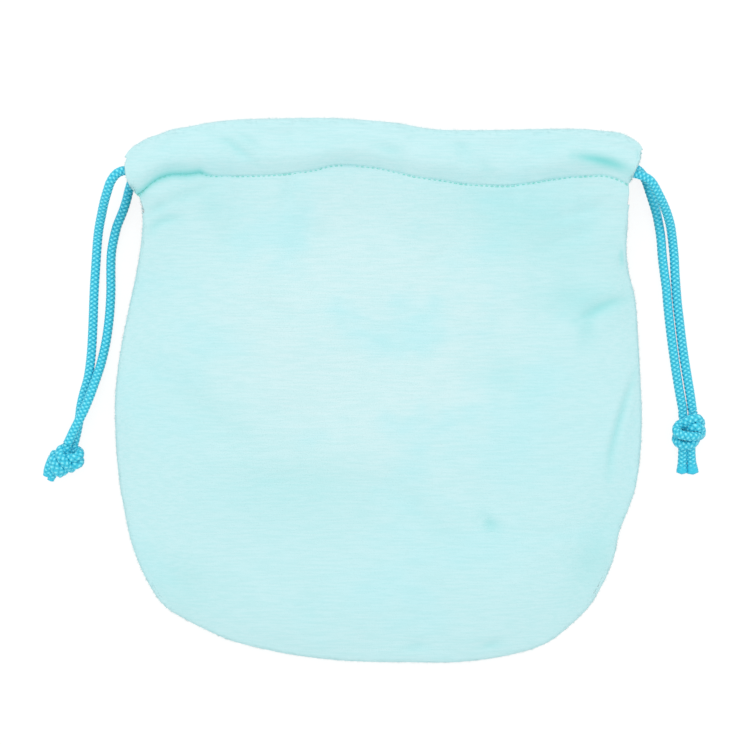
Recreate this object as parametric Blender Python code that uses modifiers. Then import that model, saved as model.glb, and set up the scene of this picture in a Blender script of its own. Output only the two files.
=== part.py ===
"""Drawstring pouch of plush cloth with two braided cords, laid flat on its back panel.

The pouch is two cloth panels, sewn face to face round the sides and the rounded bottom and
turned right side out, so their seam allowances lie folded inside. Each panel's top edge is
folded in and sewn down as the channel for the cords. Each cord runs through both channels
and comes out on its own side, where its two ends are tied together in one overhand knot.

Metres, +Z up, +Y towards the mouth. The back panel rests on z = 0.
"""

import math
from dataclasses import dataclass

import bmesh
import bpy
import numpy as np
from mathutils import Matrix, Vector

MM = 0.001

# Cloth and seams
CLOTH = 1.4 * MM
SEAM_GAP = 0.3 * MM
EDGE_FOLD_RADIUS = 1.1 * MM
SEAM_ALLOWANCE = 8.0 * MM

# Outline of the sewn pouch, seen from above
BELLY_HALF_WIDTH = 97.3 * MM
BELLY_Y = -11.0 * MM
NECK_INSET = 7.5 * MM
NECK_BELOW_TOP = 40.5 * MM
BOTTOM_Y = -100.3 * MM
BOTTOM_SQUARENESS = 2.8
CORNER_ANGLE = 45.0
SLIT_BELOW_TOP = 33.5 * MM
TOP_Y = 98.5 * MM

# Cord channel along the top
CHANNEL_END_INSET = 1.9 * MM
TOP_END_DROP = 11.0 * MM
TOP_CORNER_SHARE = 0.8
TOP_CORNER_POWER = 10
END_DROP_POWER = 4
STITCH_END_DROP = 8.0 * MM
CHANNEL_RISE = 3.2 * MM
CHANNEL_RISE_STEPS = (0.35, 0.75, 1.25)
HEM_BELOW_STITCH = 1.0 * MM
INNER_PLY_SETBACK = 8.6 * MM
BACK_CHANNEL_SHIFT = 2.8 * MM

# Heights
MOUTH_GAP = 6.0 * MM
PUFF_HEIGHT = 12.5 * MM
PUFF_REACH = 14.0 * MM
SEAM_LIFT_FROM_Y = 30.0 * MM
BACK_LIFT_REACH = 18.0 * MM
PUCKER_HEIGHT = 0.8 * MM
PUCKER_PITCH = 38.0 * MM
PUCKER_REACH = 9.0 * MM
CHANNEL_PULL_REACH = 27.0 * MM

# Cords
CORD_DIAMETER = 3.2 * MM
CORD_CLEARANCE = 0.3 * MM
CORD_LIFT = 0.1 * MM
CORD_POINTS = 80
BEND_DENSITY = 10.0 * MM
LANE_BELOW_TOP = 9.7 * MM
LANE_END_DROP = 5.8 * MM
LANE_DROP_LENGTH = 26.0 * MM
LANE_DROP_INSET = 11.4 * MM
LANE_GAP = 1.0 * MM
LANE_STAGGER = 0.9 * MM
LANE_TO_STITCH = 4.0 * MM
TURN_INSET = 8.2 * MM
FALL_BELOW_TOP = (16.5 * MM, 45.5 * MM)
CROSSING_BELOW_TOP = (86.5 * MM, 104.5 * MM)

# Knots, in cord diameters, with each band's place and its lean in degrees
KNOT_HEIGHT_RATIO = 2.5
KNOT_LENGTH_RATIO = 3.94
KNOT_WIDTH_RATIO = 3.44
KNOT_CORE_SHARE = (0.7, 0.9, 0.8)
KNOT_BANDS = (((0.31, 1.22), 16.0), ((0.0, 0.06), -28.0), ((-0.25, -1.16), -6.0))
BAND_RADIUS_RATIO = 0.58
NECK_LENGTH_RATIO = 1.56
TAIL_SPACING_RATIO = 1.06

# Strands outside the channels, from the channel's end to the knot, in millimetres out from
# the widest part of the pouch and down from its top edge
LEFT_FRONT_STRAND = [
    (-6.3, 16.4), (-2.3, 16.7), (0.5, 18.1), (2.6, 21.2), (3.9, 25.2), (4.8, 29.2), (5.6, 33.6),
    (6.4, 38.3), (6.9, 43.0), (7.6, 51.4), (8.2, 62.5), (8.5, 73.6), (9.1, 84.7), (10.2, 93.6),
    (12.0, 100.2), (13.0, 104.7), (13.5, 108.7), (14.1, 112.4), (15.0, 116.5), (15.6, 118.7),
]
LEFT_BACK_STRAND = [
    (-6.8, 18.6), (-3.7, 20.9), (-2.2, 24.5), (-1.8, 28.5), (-1.4, 32.0), (-0.6, 35.5), (0.4, 39.0),
    (2.0, 46.5), (2.2, 52.5), (2.0, 61.8), (2.2, 68.4), (2.8, 74.7), (3.8, 81.4), (5.4, 88.4),
    (6.9, 93.2), (8.2, 96.9), (9.8, 101.3), (11.7, 105.8), (13.7, 109.9), (15.6, 113.7), (17.0, 116.7),
    (18.0, 118.7),
]
RIGHT_FRONT_STRAND = [
    (-7.3, 18.8), (-2.3, 19.0), (0.9, 19.9), (3.6, 21.9), (6.3, 26.7), (8.8, 32.2), (10.4, 37.4),
    (11.2, 42.6), (11.9, 49.2), (12.2, 55.1), (12.6, 61.0), (13.1, 66.9), (13.9, 73.6), (14.7, 80.3),
    (15.6, 86.9), (16.8, 93.6), (18.0, 100.2), (18.9, 106.5),
]
RIGHT_BACK_STRAND = [
    (-7.3, 16.4), (-2.3, 16.5), (0.7, 17.9), (2.9, 20.9), (4.1, 24.9), (4.9, 29.2), (5.6, 33.5),
    (6.2, 37.4), (7.0, 42.6), (7.5, 49.2), (8.2, 55.1), (9.0, 61.0), (9.5, 66.9), (10.2, 73.6),
    (10.9, 80.3), (11.7, 86.9), (12.6, 93.6), (13.7, 100.2), (15.0, 106.5),
]


@dataclass(frozen=True)
class Cord:
    """One cord: the side it comes out on, its strands, and how its knot lies."""

    name: str
    end: int
    front_lane: int
    front_strand: list
    back_strand: list
    back_strand_crosses: bool
    knot_place: tuple
    knot_turn: float
    tail_length: float
    tip_share: float


CORDS = (
    Cord(
        name="left", end=-1, front_lane=0,
        front_strand=LEFT_FRONT_STRAND, back_strand=LEFT_BACK_STRAND, back_strand_crosses=True,
        knot_place=(19.1, 125.5), knot_turn=-32.0, tail_length=8.4 * MM, tip_share=0.25,
    ),
    Cord(
        name="right", end=1, front_lane=1,
        front_strand=RIGHT_FRONT_STRAND, back_strand=RIGHT_BACK_STRAND, back_strand_crosses=False,
        knot_place=(17.5, 114.4), knot_turn=4.0, tail_length=15.4 * MM, tip_share=0.53,
    ),
)

# Grids and curves
COLUMNS = 24
COLUMN_CROWDING = 0.5
BODY_ROWS = 18
SLIT_ROWS = 2
EDGE_FOLD_STEPS = 4
TOP_FOLD_STEPS = 6
OUTLINE_SAMPLES = 400
CORNER_SAMPLES = 100
CHANNEL_SAMPLES = 12
TURN_STEPS = 6
ROUTE_SAMPLES = 12

# Outline sizes that follow from the sizes above
NECK_HALF_WIDTH = BELLY_HALF_WIDTH - NECK_INSET
NECK_Y = TOP_Y - NECK_BELOW_TOP
SLIT_Y = TOP_Y - SLIT_BELOW_TOP
CHANNEL_HALF_LENGTH = BELLY_HALF_WIDTH - CHANNEL_END_INSET
LANE_SPACING = CORD_DIAMETER + LANE_GAP
STITCH_Y = TOP_Y - LANE_BELOW_TOP - LANE_SPACING - CORD_DIAMETER / 2 - LANE_TO_STITCH
LANE_DROP_TO_X = CHANNEL_HALF_LENGTH - LANE_DROP_INSET
LANE_DROP_FROM_X = LANE_DROP_TO_X - LANE_DROP_LENGTH
TURN_FROM_X = CHANNEL_HALF_LENGTH - TURN_INSET

# Heights and thicknesses that follow from the sizes above
CHANNEL_HEIGHT = CORD_DIAMETER + 2 * CORD_CLEARANCE
TOP_FOLD_RADIUS = (CHANNEL_HEIGHT + CLOTH) / 2
CASING_THICKNESS = CHANNEL_HEIGHT + 2 * CLOTH
MIDDLE_Z = CASING_THICKNESS + MOUTH_GAP / 2
EDGE_INSET = EDGE_FOLD_RADIUS + CLOTH / 2
SEAM_Z = CLOTH + 2 * EDGE_FOLD_RADIUS + SEAM_GAP / 2
RIM_FROM_SEAM = SEAM_Z - CLOTH / 2
STITCH_GAP = CLOTH + SEAM_GAP
KNOT_HEIGHT = KNOT_HEIGHT_RATIO * CORD_DIAMETER
KNOT_LENGTH = KNOT_LENGTH_RATIO * CORD_DIAMETER
KNOT_WIDTH = KNOT_WIDTH_RATIO * CORD_DIAMETER
BAND_RADIUS = BAND_RADIUS_RATIO * CORD_DIAMETER
NECK_LENGTH = NECK_LENGTH_RATIO * CORD_DIAMETER
TAIL_SPACING = TAIL_SPACING_RATIO * CORD_DIAMETER


def smoothstep(t):
    """Smooth rise from 0 to 1 as t goes from 0 to 1."""
    t = min(max(t, 0.0), 1.0)
    return t * t * (3.0 - 2.0 * t)


def across(x):
    """Place along the channel, from 0 in the middle to 1 at its ends."""
    return min(abs(x) / CHANNEL_HALF_LENGTH, 1.0)


def stitch_y(x):
    """Height on the page of the row of stitches that closes the channel."""
    return STITCH_Y - STITCH_END_DROP * across(x) ** END_DROP_POWER


def top_y(x):
    """Top edge of the pouch, which drops in round corners at the channel's ends."""
    corner = TOP_CORNER_SHARE * across(x) ** TOP_CORNER_POWER
    slope = (1 - TOP_CORNER_SHARE) * across(x) ** END_DROP_POWER
    return TOP_Y - TOP_END_DROP * (corner + slope)


def half_width(y):
    """Half the width at the sides, between the belly and the neck."""
    t = (y - BELLY_Y) / (NECK_Y - BELLY_Y)
    return BELLY_HALF_WIDTH - (BELLY_HALF_WIDTH - NECK_HALF_WIDTH) * smoothstep(t)


def bottom_point(angle):
    """Point of the rounded bottom at an angle below the belly line, inset by the edge fold."""
    power = 2.0 / BOTTOM_SQUARENESS
    x = (BELLY_HALF_WIDTH - EDGE_INSET) * math.cos(angle) ** power
    y = BELLY_Y - (BELLY_Y - BOTTOM_Y - EDGE_INSET) * math.sin(angle) ** power
    return (x, y)


def evenly(points, count, bend_density=0.0):
    """The polyline's points again, count steps apart, which can be shorter where it bends."""
    points = np.array(points)
    runs = np.diff(points, axis=0)
    steps = np.linalg.norm(runs, axis=1)
    headings = runs / steps[:, None]
    turns = np.linalg.norm(np.diff(headings, axis=0), axis=1)
    steps[1:] += bend_density * turns
    along = np.concatenate([[0.0], np.cumsum(steps)])
    wanted = np.linspace(0.0, along[-1], count + 1)
    return np.stack([np.interp(wanted, along, points[:, k]) for k in range(points.shape[1])], axis=1)


def right_side():
    """Right edge of the body from the middle of the bottom corner up to the channel's end."""
    angles = np.radians(np.linspace(CORNER_ANGLE, 0.0, CORNER_SAMPLES + 1))
    corner = [bottom_point(a) for a in angles[:-1]]
    levels = np.linspace(BELLY_Y, SLIT_Y, OUTLINE_SAMPLES)
    side = [(half_width(y) - EDGE_INSET, y) for y in levels]
    body = evenly(corner + side, BODY_ROWS - SLIT_ROWS)
    end_y = stitch_y(CHANNEL_HALF_LENGTH)
    flare = []
    for t in np.linspace(0.0, 1.0, SLIT_ROWS + 1)[1:]:
        x = body[-1][0] + (CHANNEL_HALF_LENGTH - body[-1][0]) * t
        flare.append((x, SLIT_Y + (end_y - SLIT_Y) * t))
    return np.concatenate([body, flare])


def column_places():
    """Places of the grid's columns from 0 to 1, closer together near the two ends."""
    even = np.linspace(0.0, 1.0, COLUMNS + 1)
    eased = 0.5 - 0.5 * np.cos(math.pi * even)
    return (1 - COLUMN_CROWDING) * even + COLUMN_CROWDING * eased


def bottom_edge(places):
    """Bottom edge of the body between its two corners, at the grid's columns."""
    angles = np.radians(np.linspace(CORNER_ANGLE, 90.0, OUTLINE_SAMPLES))
    right = [bottom_point(a) for a in angles]
    whole = [(-x, y) for x, y in right] + right[-2::-1]
    whole = evenly(whole, OUTLINE_SAMPLES)
    at = np.linspace(0.0, 1.0, OUTLINE_SAMPLES + 1)
    return np.stack([np.interp(places, at, whole[:, k]) for k in range(2)], axis=1)


def seam_height(y):
    """Height of the seam between the panels, which lifts towards the slit under the channel."""
    lift = smoothstep((y - SEAM_LIFT_FROM_Y) / (SLIT_Y - SEAM_LIFT_FROM_Y))
    return SEAM_Z + (MIDDLE_Z - SEAM_Z) * lift


def stitch_height(side):
    """Height of the outer ply's middle where the stitches pin it to the hem."""
    return MIDDLE_Z + side * (MOUTH_GAP / 2 + CLOTH / 2 + STITCH_GAP)


def edge_height(side, y, row):
    """Height of the outer ply's middle along the side edge."""
    rim = seam_height(y) + side * RIM_FROM_SEAM
    free = max(row - (BODY_ROWS - SLIT_ROWS), 0) / SLIT_ROWS
    return rim + (stitch_height(side) - rim) * free


def front_height(x, y, from_side, from_bottom, edge):
    """Height of the front panel, puffed up from its edges and puckered below the stitches."""
    from_edge = 1 - math.exp(-from_side / PUFF_REACH)
    rise = from_edge * (1 - math.exp(-from_bottom / PUFF_REACH))
    under_stitch = stitch_y(x) - y
    top = smoothstep(1 - under_stitch / CHANNEL_PULL_REACH)
    level = PUFF_HEIGHT + (stitch_height(1) - PUFF_HEIGHT) * top
    swell = math.exp(1 - under_stitch / PUCKER_REACH) * under_stitch / PUCKER_REACH
    wave = 0.5 + 0.5 * math.cos(2 * math.pi * x / PUCKER_PITCH)
    return edge + (level - edge) * rise + PUCKER_HEIGHT * swell * wave * from_edge


def back_height(x, y, from_side, edge):
    """Height of the back panel, flat on the ground and lifted at the stitches and the slits."""
    ground = CLOTH / 2
    near_stitch = smoothstep(1 - (stitch_y(x) - y) / PUCKER_REACH)
    level = ground + (stitch_height(-1) - ground) * near_stitch
    near_side = smoothstep(1 - from_side / BACK_LIFT_REACH)
    return level + (edge - level) * near_side


def shifted(side, x, y, share=1.0):
    """The back channel lies a little to one side of the front one, above the slits."""
    shift = BACK_CHANNEL_SHIFT * share if side < 0 else 0.0
    return x + shift * smoothstep((y - SLIT_Y) / (stitch_y(CHANNEL_HALF_LENGTH) - SLIT_Y))


def body_points(side):
    """Rows of points of the panel's outer ply, from the bottom edge up to the stitches."""
    places = column_places()
    right = right_side()
    left = right * [-1, 1]
    bottom = bottom_edge(places)
    top = [((2 * u - 1) * CHANNEL_HALF_LENGTH, stitch_y((2 * u - 1) * CHANNEL_HALF_LENGTH)) for u in places]
    top = np.array(top)
    rows = []
    for row in range(BODY_ROWS + 1):
        v = row / BODY_ROWS
        line = []
        for column, u in enumerate(places):
            edges = (1 - v) * bottom[column] + v * top[column] + (1 - u) * left[row] + u * right[row]
            low = (1 - u) * bottom[0] + u * bottom[-1]
            high = (1 - u) * top[0] + u * top[-1]
            x, y = edges - (1 - v) * low - v * high
            from_side = 2 * min(u, 1 - u) * right[row][0]
            from_bottom = v * (STITCH_Y - BOTTOM_Y)
            edge = edge_height(side, right[row][1], row)
            if side > 0:
                z = front_height(x, y, from_side, from_bottom, edge)
            else:
                z = back_height(x, y, from_side, edge)
            line.append(Vector((shifted(side, x, y), y, z)))
        rows.append(line)
    return rows


def casing_section(side, x):
    """Points of the folded channel at one place, as pairs of y and z and a share of the setback."""
    low = stitch_y(x)
    fold_y = top_y(x) - CLOTH / 2 - TOP_FOLD_RADIUS
    inner_z = MIDDLE_Z + side * (MOUTH_GAP / 2 + CLOTH / 2)
    full = 2 * TOP_FOLD_RADIUS
    section = []
    for reach in CHANNEL_RISE_STEPS:
        rise = 1 - (1 - min(reach, 1.0)) ** 2
        z = inner_z + side * (STITCH_GAP + (full - STITCH_GAP) * rise)
        section.append((low + reach * CHANNEL_RISE, z, 0.0))
    section.append((fold_y, inner_z + side * full, 0.0))
    for step in range(1, TOP_FOLD_STEPS + 1):
        angle = math.pi * step / TOP_FOLD_STEPS
        y = fold_y + TOP_FOLD_RADIUS * math.sin(angle)
        z = inner_z + side * TOP_FOLD_RADIUS * (1 + math.cos(angle))
        section.append((y, z, smoothstep(step / TOP_FOLD_STEPS)))
    middle_y = (fold_y + low) / 2
    section.append((middle_y, inner_z, 1.0))
    section.append((low - HEM_BELOW_STITCH, inner_z, 1.0))
    return section


def casing_rows(side):
    """Rows of points of the channel, from the stitches over the top fold and back down."""
    columns = []
    for u in column_places():
        x = (2 * u - 1) * CHANNEL_HALF_LENGTH
        line = []
        for y, z, setback in casing_section(side, x):
            narrower = 1 - setback * INNER_PLY_SETBACK / CHANNEL_HALF_LENGTH
            line.append(Vector((shifted(side, x * narrower, STITCH_Y, 1 - setback), y, z)))
        columns.append(line)
    return [list(row) for row in zip(*columns)]


def outward(edge_points, index):
    """Unit vector out of the pouch, square to the outline at one of its points."""
    before = edge_points[max(index - 1, 0)]
    after = edge_points[min(index + 1, len(edge_points) - 1)]
    along = (after - before).normalized()
    return Vector((along.y, -along.x, 0.0)).normalized()


def turn_in_edge(bm, verts, side):
    """Fold the sewn edge under in a half round and lay the seam allowance inside."""
    centre = [v.co.copy() for v in verts]
    normals = [outward(centre, i) for i in range(len(centre))]
    inwards = Vector((0.0, 0.0, -side))
    offsets = []
    for step in range(1, EDGE_FOLD_STEPS + 1):
        angle = math.pi * step / EDGE_FOLD_STEPS
        out = EDGE_FOLD_RADIUS * math.sin(angle)
        down = EDGE_FOLD_RADIUS * (1 - math.cos(angle))
        offsets.append((out, down))
    offsets.append((-SEAM_ALLOWANCE / 2, 2 * EDGE_FOLD_RADIUS))
    offsets.append((-SEAM_ALLOWANCE, 2 * EDGE_FOLD_RADIUS))
    row = verts
    for out, down in offsets:
        edges = [bm.edges.get((row[i], row[i + 1])) for i in range(len(row) - 1)]
        made = bmesh.ops.extrude_edge_only(bm, edges=edges)["geom"]
        fresh = [g for g in made if isinstance(g, bmesh.types.BMVert)]
        row = [min(fresh, key=lambda f, v=v: (f.co - v.co).length_squared) for v in row]
        for vert, base, normal in zip(row, centre, normals):
            vert.co = base + normal * out + inwards * down


def panel_mesh(name, side):
    """The middle surface of one panel: body, channel and turned-in seam allowance."""
    rows = body_points(side) + casing_rows(side)
    bm = bmesh.new()
    bmesh.ops.create_grid(bm, x_segments=COLUMNS, y_segments=len(rows) - 1, size=1.0)
    by_place = sorted(bm.verts, key=lambda v: (round(v.co.y, 4), v.co.x))
    grid = [by_place[i:i + COLUMNS + 1] for i in range(0, len(by_place), COLUMNS + 1)]
    for verts, points in zip(grid, rows):
        for vert, point in zip(verts, points):
            vert.co = point
    sewn = BODY_ROWS - SLIT_ROWS
    left = [grid[row][0] for row in range(sewn, 0, -1)]
    right = [grid[row][-1] for row in range(1, sewn + 1)]
    turn_in_edge(bm, left + grid[0] + right, side)
    bmesh.ops.recalc_face_normals(bm, faces=bm.faces[:])
    mesh = bpy.data.meshes.new(name)
    bm.to_mesh(mesh)
    bm.free()
    mesh.shade_smooth()
    return mesh


def make_material(name, colour, roughness):
    """A plain matt finish."""
    material = bpy.data.materials.new(name)
    material.use_nodes = True
    shader = material.node_tree.nodes["Principled BSDF"]
    shader.inputs["Base Color"].default_value = (*colour, 1.0)
    shader.inputs["Roughness"].default_value = roughness
    shader.inputs["Metallic"].default_value = 0.0
    return material


def add_panel(name, side, collection, material):
    """One cloth panel: its middle surface thickened by half the cloth on each side."""
    panel = bpy.data.objects.new(name, panel_mesh(name, side))
    collection.objects.link(panel)
    cloth = panel.modifiers.new("cloth", "SOLIDIFY")
    cloth.thickness = CLOTH
    cloth.offset = 0.0
    panel.data.materials.append(material)
    return panel


def smooth_route(points, count):
    """A smooth curve through hand-chosen points, read again at even steps."""
    points = [Vector(p) for p in points]
    padded = [2 * points[0] - points[1]] + points + [2 * points[-1] - points[-2]]
    fine = []
    for p0, p1, p2, p3 in zip(padded, padded[1:], padded[2:], padded[3:]):
        for t in np.linspace(0.0, 1.0, ROUTE_SAMPLES, endpoint=False):
            fine.append(0.5 * (2 * p1 + (p2 - p0) * t + (2 * p0 - 5 * p1 + 4 * p2 - p3) * t * t
                               + (3 * p1 - p0 - 3 * p2 + p3) * t ** 3))
    fine.append(points[-1])
    lowest = CORD_DIAMETER / 2
    return evenly([(p[0], p[1], max(p[2], lowest)) for p in fine], count, BEND_DENSITY)


def lane_y(x, side, lane):
    """Place of a cord in a channel: lane 0 under the top fold, lane 1 beside it."""
    drop = (abs(x) - LANE_DROP_FROM_X) / (LANE_DROP_TO_X - LANE_DROP_FROM_X)
    middle = TOP_Y - LANE_BELOW_TOP - LANE_END_DROP * smoothstep(drop)
    stagger = side * LANE_STAGGER * max(min(x / LANE_DROP_TO_X, 1.0), -1.0)
    return middle - lane * LANE_SPACING + stagger


def channel_z(side):
    """Height of a channel's middle."""
    return MIDDLE_Z + side * (MOUTH_GAP / 2 + CASING_THICKNESS / 2)


def channel_run(from_x, to_x, side, lane, count):
    """Points of a cord inside one channel."""
    return [(x, lane_y(x, side, lane), channel_z(side)) for x in np.linspace(from_x, to_x, count)]


def turn_round(end, lane):
    """Half round at one end, from a lane of the front channel to the other lane of the back one."""
    x = end * TURN_FROM_X
    start = Vector(channel_run(x, x, 1, lane, 1)[0])
    finish = Vector(channel_run(x, x, -1, 1 - lane, 1)[0])
    centre = (start + finish) / 2
    spoke = start - centre
    forwards = Vector((end * spoke.length, 0.0, 0.0))
    angles = np.linspace(0.0, math.pi, TURN_STEPS + 1)[1:-1]
    return [tuple(centre + spoke * math.cos(a) + forwards * math.sin(a)) for a in angles]


def between(limits, value):
    """Smooth rise from 0 to 1 as a value goes from the first limit to the second."""
    return smoothstep((value - limits[0]) / (limits[1] - limits[0]))


def strand_points(strand, end, side, crosses):
    """Points of a strand, down from its channel to the ground and over its neighbour if it crosses."""
    lying = CORD_DIAMETER / 2 + CORD_LIFT
    over = CORD_DIAMETER + CORD_CLEARANCE if crosses else 0.0
    points = []
    for out, down in strand:
        below = down * MM
        z = channel_z(side) + (lying - channel_z(side)) * between(FALL_BELOW_TOP, below)
        z += over * between(CROSSING_BELOW_TOP, below)
        points.append((end * (BELLY_HALF_WIDTH + out * MM), TOP_Y - below, z))
    return points


def cord_route(cord):
    """One cord: up from its knot, through the front channel, round, and back to its knot."""
    exit_x = cord.end * LANE_DROP_TO_X
    turn_x = -cord.end * TURN_FROM_X
    front = channel_run(exit_x, turn_x, 1, cord.front_lane, CHANNEL_SAMPLES)
    back = channel_run(turn_x, exit_x, -1, 1 - cord.front_lane, CHANNEL_SAMPLES)
    strand_up = strand_points(cord.front_strand, cord.end, 1, False)[::-1]
    strand_down = strand_points(cord.back_strand, cord.end, -1, cord.back_strand_crosses)
    return strand_up + front + turn_round(-cord.end, cord.front_lane) + back + strand_down


def add_tube(name, points, collection, material):
    """A round cord along the points, with flat closed ends."""
    curve = bpy.data.curves.new(name, "CURVE")
    curve.dimensions = "3D"
    curve.bevel_depth = CORD_DIAMETER / 2
    curve.bevel_resolution = 2
    curve.use_fill_caps = True
    spline = curve.splines.new("POLY")
    spline.points.add(len(points) - 1)
    for place, point in zip(spline.points, points):
        place.co = (*point, 1.0)
    curve.materials.append(material)
    cord = bpy.data.objects.new(name, curve)
    collection.objects.link(cord)
    return cord


def scaled(x, y, z):
    """Matrix that stretches a mesh along the three axes."""
    return Matrix.Diagonal((x, y, z, 1.0))


def helper(name, collection, parent, stretch=(1.0, 1.0, 1.0)):
    """The mesh just added, as a piece to be joined on to its parent and not kept by itself."""
    piece = bpy.context.object
    piece.name = name
    for home in list(piece.users_collection):
        home.objects.unlink(piece)
    collection.objects.link(piece)
    rotation = piece.rotation_euler.to_matrix().to_4x4()
    piece.data.transform(scaled(*stretch) @ rotation)
    piece.rotation_euler = (0.0, 0.0, 0.0)
    piece.parent = parent
    piece.display_type = "WIRE"
    piece.hide_render = True
    return piece


def knot_band(name, collection, parent, place, lean):
    """One turn of the cord round the knot, a flattened ring that leans across it."""
    bpy.ops.mesh.primitive_torus_add(
        major_segments=18,
        minor_segments=8,
        major_radius=KNOT_WIDTH / 2 - BAND_RADIUS,
        minor_radius=BAND_RADIUS,
        rotation=(math.radians(90.0), 0.0, math.radians(lean)),
    )
    band = helper(name, collection, parent, (1.0, 1.0, KNOT_HEIGHT / KNOT_WIDTH))
    band.location = (place[0] * CORD_DIAMETER, place[1] * CORD_DIAMETER, 0.0)
    return band


def knot_tail(name, collection, parent, x, length, tip_radius):
    """One free end of the cord past the knot."""
    bpy.ops.mesh.primitive_cone_add(
        vertices=10,
        radius1=CORD_DIAMETER / 2,
        radius2=tip_radius,
        depth=length,
        rotation=(math.radians(90.0), 0.0, 0.0),
    )
    tail = helper(name, collection, parent)
    tail.location = (x, -length / 2, max(CORD_DIAMETER / 2, tip_radius) - KNOT_HEIGHT / 2)
    return tail


def knot_neck(name, collection, parent, strand_end, strand_before):
    """The cord between a strand's end and the knot, in line with the strand."""
    bpy.ops.mesh.primitive_cylinder_add(vertices=10, radius=CORD_DIAMETER / 2, depth=NECK_LENGTH)
    along = (Vector(strand_end) - Vector(strand_before)).normalized()
    neck = helper(name, collection, parent)
    turn_back = Matrix.Rotation(-parent.rotation_euler.z, 3, "Z")
    middle = Vector(strand_end) + along * (CORD_CLEARANCE + NECK_LENGTH / 2)
    neck.data.transform((turn_back @ along.to_track_quat("Z", "Y").to_matrix()).to_4x4())
    neck.location = turn_back @ (middle - parent.location)
    return neck


def add_knot(cord, ends, collection, helpers, material):
    """An overhand knot tied in both strands: a core, its bands, two necks and two tails."""
    bpy.ops.mesh.primitive_uv_sphere_add(segments=16, ring_count=8, radius=0.5)
    knot = bpy.context.object
    knot.name = f"{cord.name}_knot"
    for home in list(knot.users_collection):
        home.objects.unlink(knot)
    collection.objects.link(knot)
    width, length, height = KNOT_CORE_SHARE
    knot.data.transform(scaled(KNOT_WIDTH * width, KNOT_LENGTH * length, KNOT_HEIGHT * height))
    out, down = cord.knot_place
    knot.location = (cord.end * (BELLY_HALF_WIDTH + out * MM), TOP_Y - down * MM, KNOT_HEIGHT / 2)
    knot.rotation_euler = (0.0, 0.0, math.radians(cord.knot_turn))
    tip_radius = cord.tip_share * CORD_DIAMETER
    parts = []
    for number, (place, lean) in enumerate(KNOT_BANDS):
        parts.append(knot_band(f"{knot.name}_band_{number}", helpers, knot, place, lean))
    for number, side in enumerate((-1, 1)):
        x = side * TAIL_SPACING / 2
        parts.append(knot_tail(f"{knot.name}_tail_{number}", helpers, knot, x, cord.tail_length, tip_radius))
    for number, (end, before) in enumerate(ends):
        parts.append(knot_neck(f"{knot.name}_neck_{number}", helpers, knot, end, before))
    for part in parts:
        join = knot.modifiers.new(part.name, "BOOLEAN")
        join.operation = "UNION"
        join.solver = "EXACT"
        join.object = part
    knot.data.materials.append(material)
    knot.data.shade_smooth()
    return knot


def clear_scene():
    """Remove whatever the file opened with."""
    for obj in list(bpy.data.objects):
        bpy.data.objects.remove(obj)


def new_collection(name):
    """A collection linked to the scene."""
    collection = bpy.data.collections.new(name)
    bpy.context.scene.collection.children.link(collection)
    return collection


def build_pouch():
    """Make every piece of the pouch."""
    clear_scene()
    pouch = new_collection("drawstring_pouch")
    helpers = new_collection("helpers")
    plush = make_material("mint_plush", (0.60, 0.87, 0.88), 0.95)
    braid = make_material("blue_braid", (0.03, 0.50, 0.78), 0.55)
    add_panel("front_panel", 1, pouch, plush)
    add_panel("back_panel", -1, pouch, plush)
    for cord in CORDS:
        route = smooth_route(cord_route(cord), CORD_POINTS - 1)
        add_tube(f"{cord.name}_cord", route, pouch, braid)
        ends = [(route[0], route[1]), (route[-1], route[-2])]
        add_knot(cord, ends, pouch, helpers, braid)


build_pouch()
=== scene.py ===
"""Looks of a drawstring pouch: plush panels, folded channels, stitches, braided cords and knots.

The pouch lies on its back panel. Lengths are in metres, +X is the pouch's right as seen from the
front, +Y runs to the mouth and +Z points up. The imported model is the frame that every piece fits.
"""

from __future__ import annotations

import logging
import math
from dataclasses import dataclass, field
from enum import Enum

import bpy
import numpy as np
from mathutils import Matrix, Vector


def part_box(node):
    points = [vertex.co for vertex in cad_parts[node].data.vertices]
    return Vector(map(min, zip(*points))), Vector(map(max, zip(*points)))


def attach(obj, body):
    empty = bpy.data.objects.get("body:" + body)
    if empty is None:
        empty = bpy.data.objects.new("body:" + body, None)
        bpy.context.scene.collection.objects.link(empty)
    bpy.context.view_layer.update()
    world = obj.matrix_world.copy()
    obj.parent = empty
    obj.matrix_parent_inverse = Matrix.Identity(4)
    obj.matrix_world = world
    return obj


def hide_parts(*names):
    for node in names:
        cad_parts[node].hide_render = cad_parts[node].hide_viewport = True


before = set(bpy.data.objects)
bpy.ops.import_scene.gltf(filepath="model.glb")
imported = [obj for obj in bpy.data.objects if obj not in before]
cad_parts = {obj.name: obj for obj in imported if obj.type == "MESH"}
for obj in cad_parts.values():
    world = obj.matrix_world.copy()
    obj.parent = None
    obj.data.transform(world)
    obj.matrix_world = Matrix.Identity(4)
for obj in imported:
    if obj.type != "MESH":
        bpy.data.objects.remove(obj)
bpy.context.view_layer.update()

Array = np.ndarray
Material = bpy.types.Material
Object = bpy.types.Object
Socket = bpy.types.NodeSocket
Tree = bpy.types.NodeTree
Pair = tuple[float, float]
Triple = tuple[float, float, float]
MM = 0.001
UP = np.array([0.0, 0.0, 1.0])
TO_MOUTH = np.array([0.0, 1.0, 0.0])
TINY = 1e-12
POLE_VALUE = 0.5
LOG = logging.getLogger("pouch")


class Side(Enum):
    """Which of the two panels, with the way it faces."""

    FRONT = 1
    BACK = -1


class End(Enum):
    """Which end of the channels a cord comes out of."""

    LEFT = -1
    RIGHT = 1


def ease(t: Array | float) -> Array:
    """Smooth rise from 0 to 1: three times the square less twice the cube of t."""
    t = np.clip(t, 0.0, 1.0)
    return t * t * (3.0 - 2.0 * t)


def bell(distance: Array, width: float) -> Array:
    """Bell curve of a distance: e to the power of minus the square of distance over width."""
    return np.exp(-((distance / width) ** 2))


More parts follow.
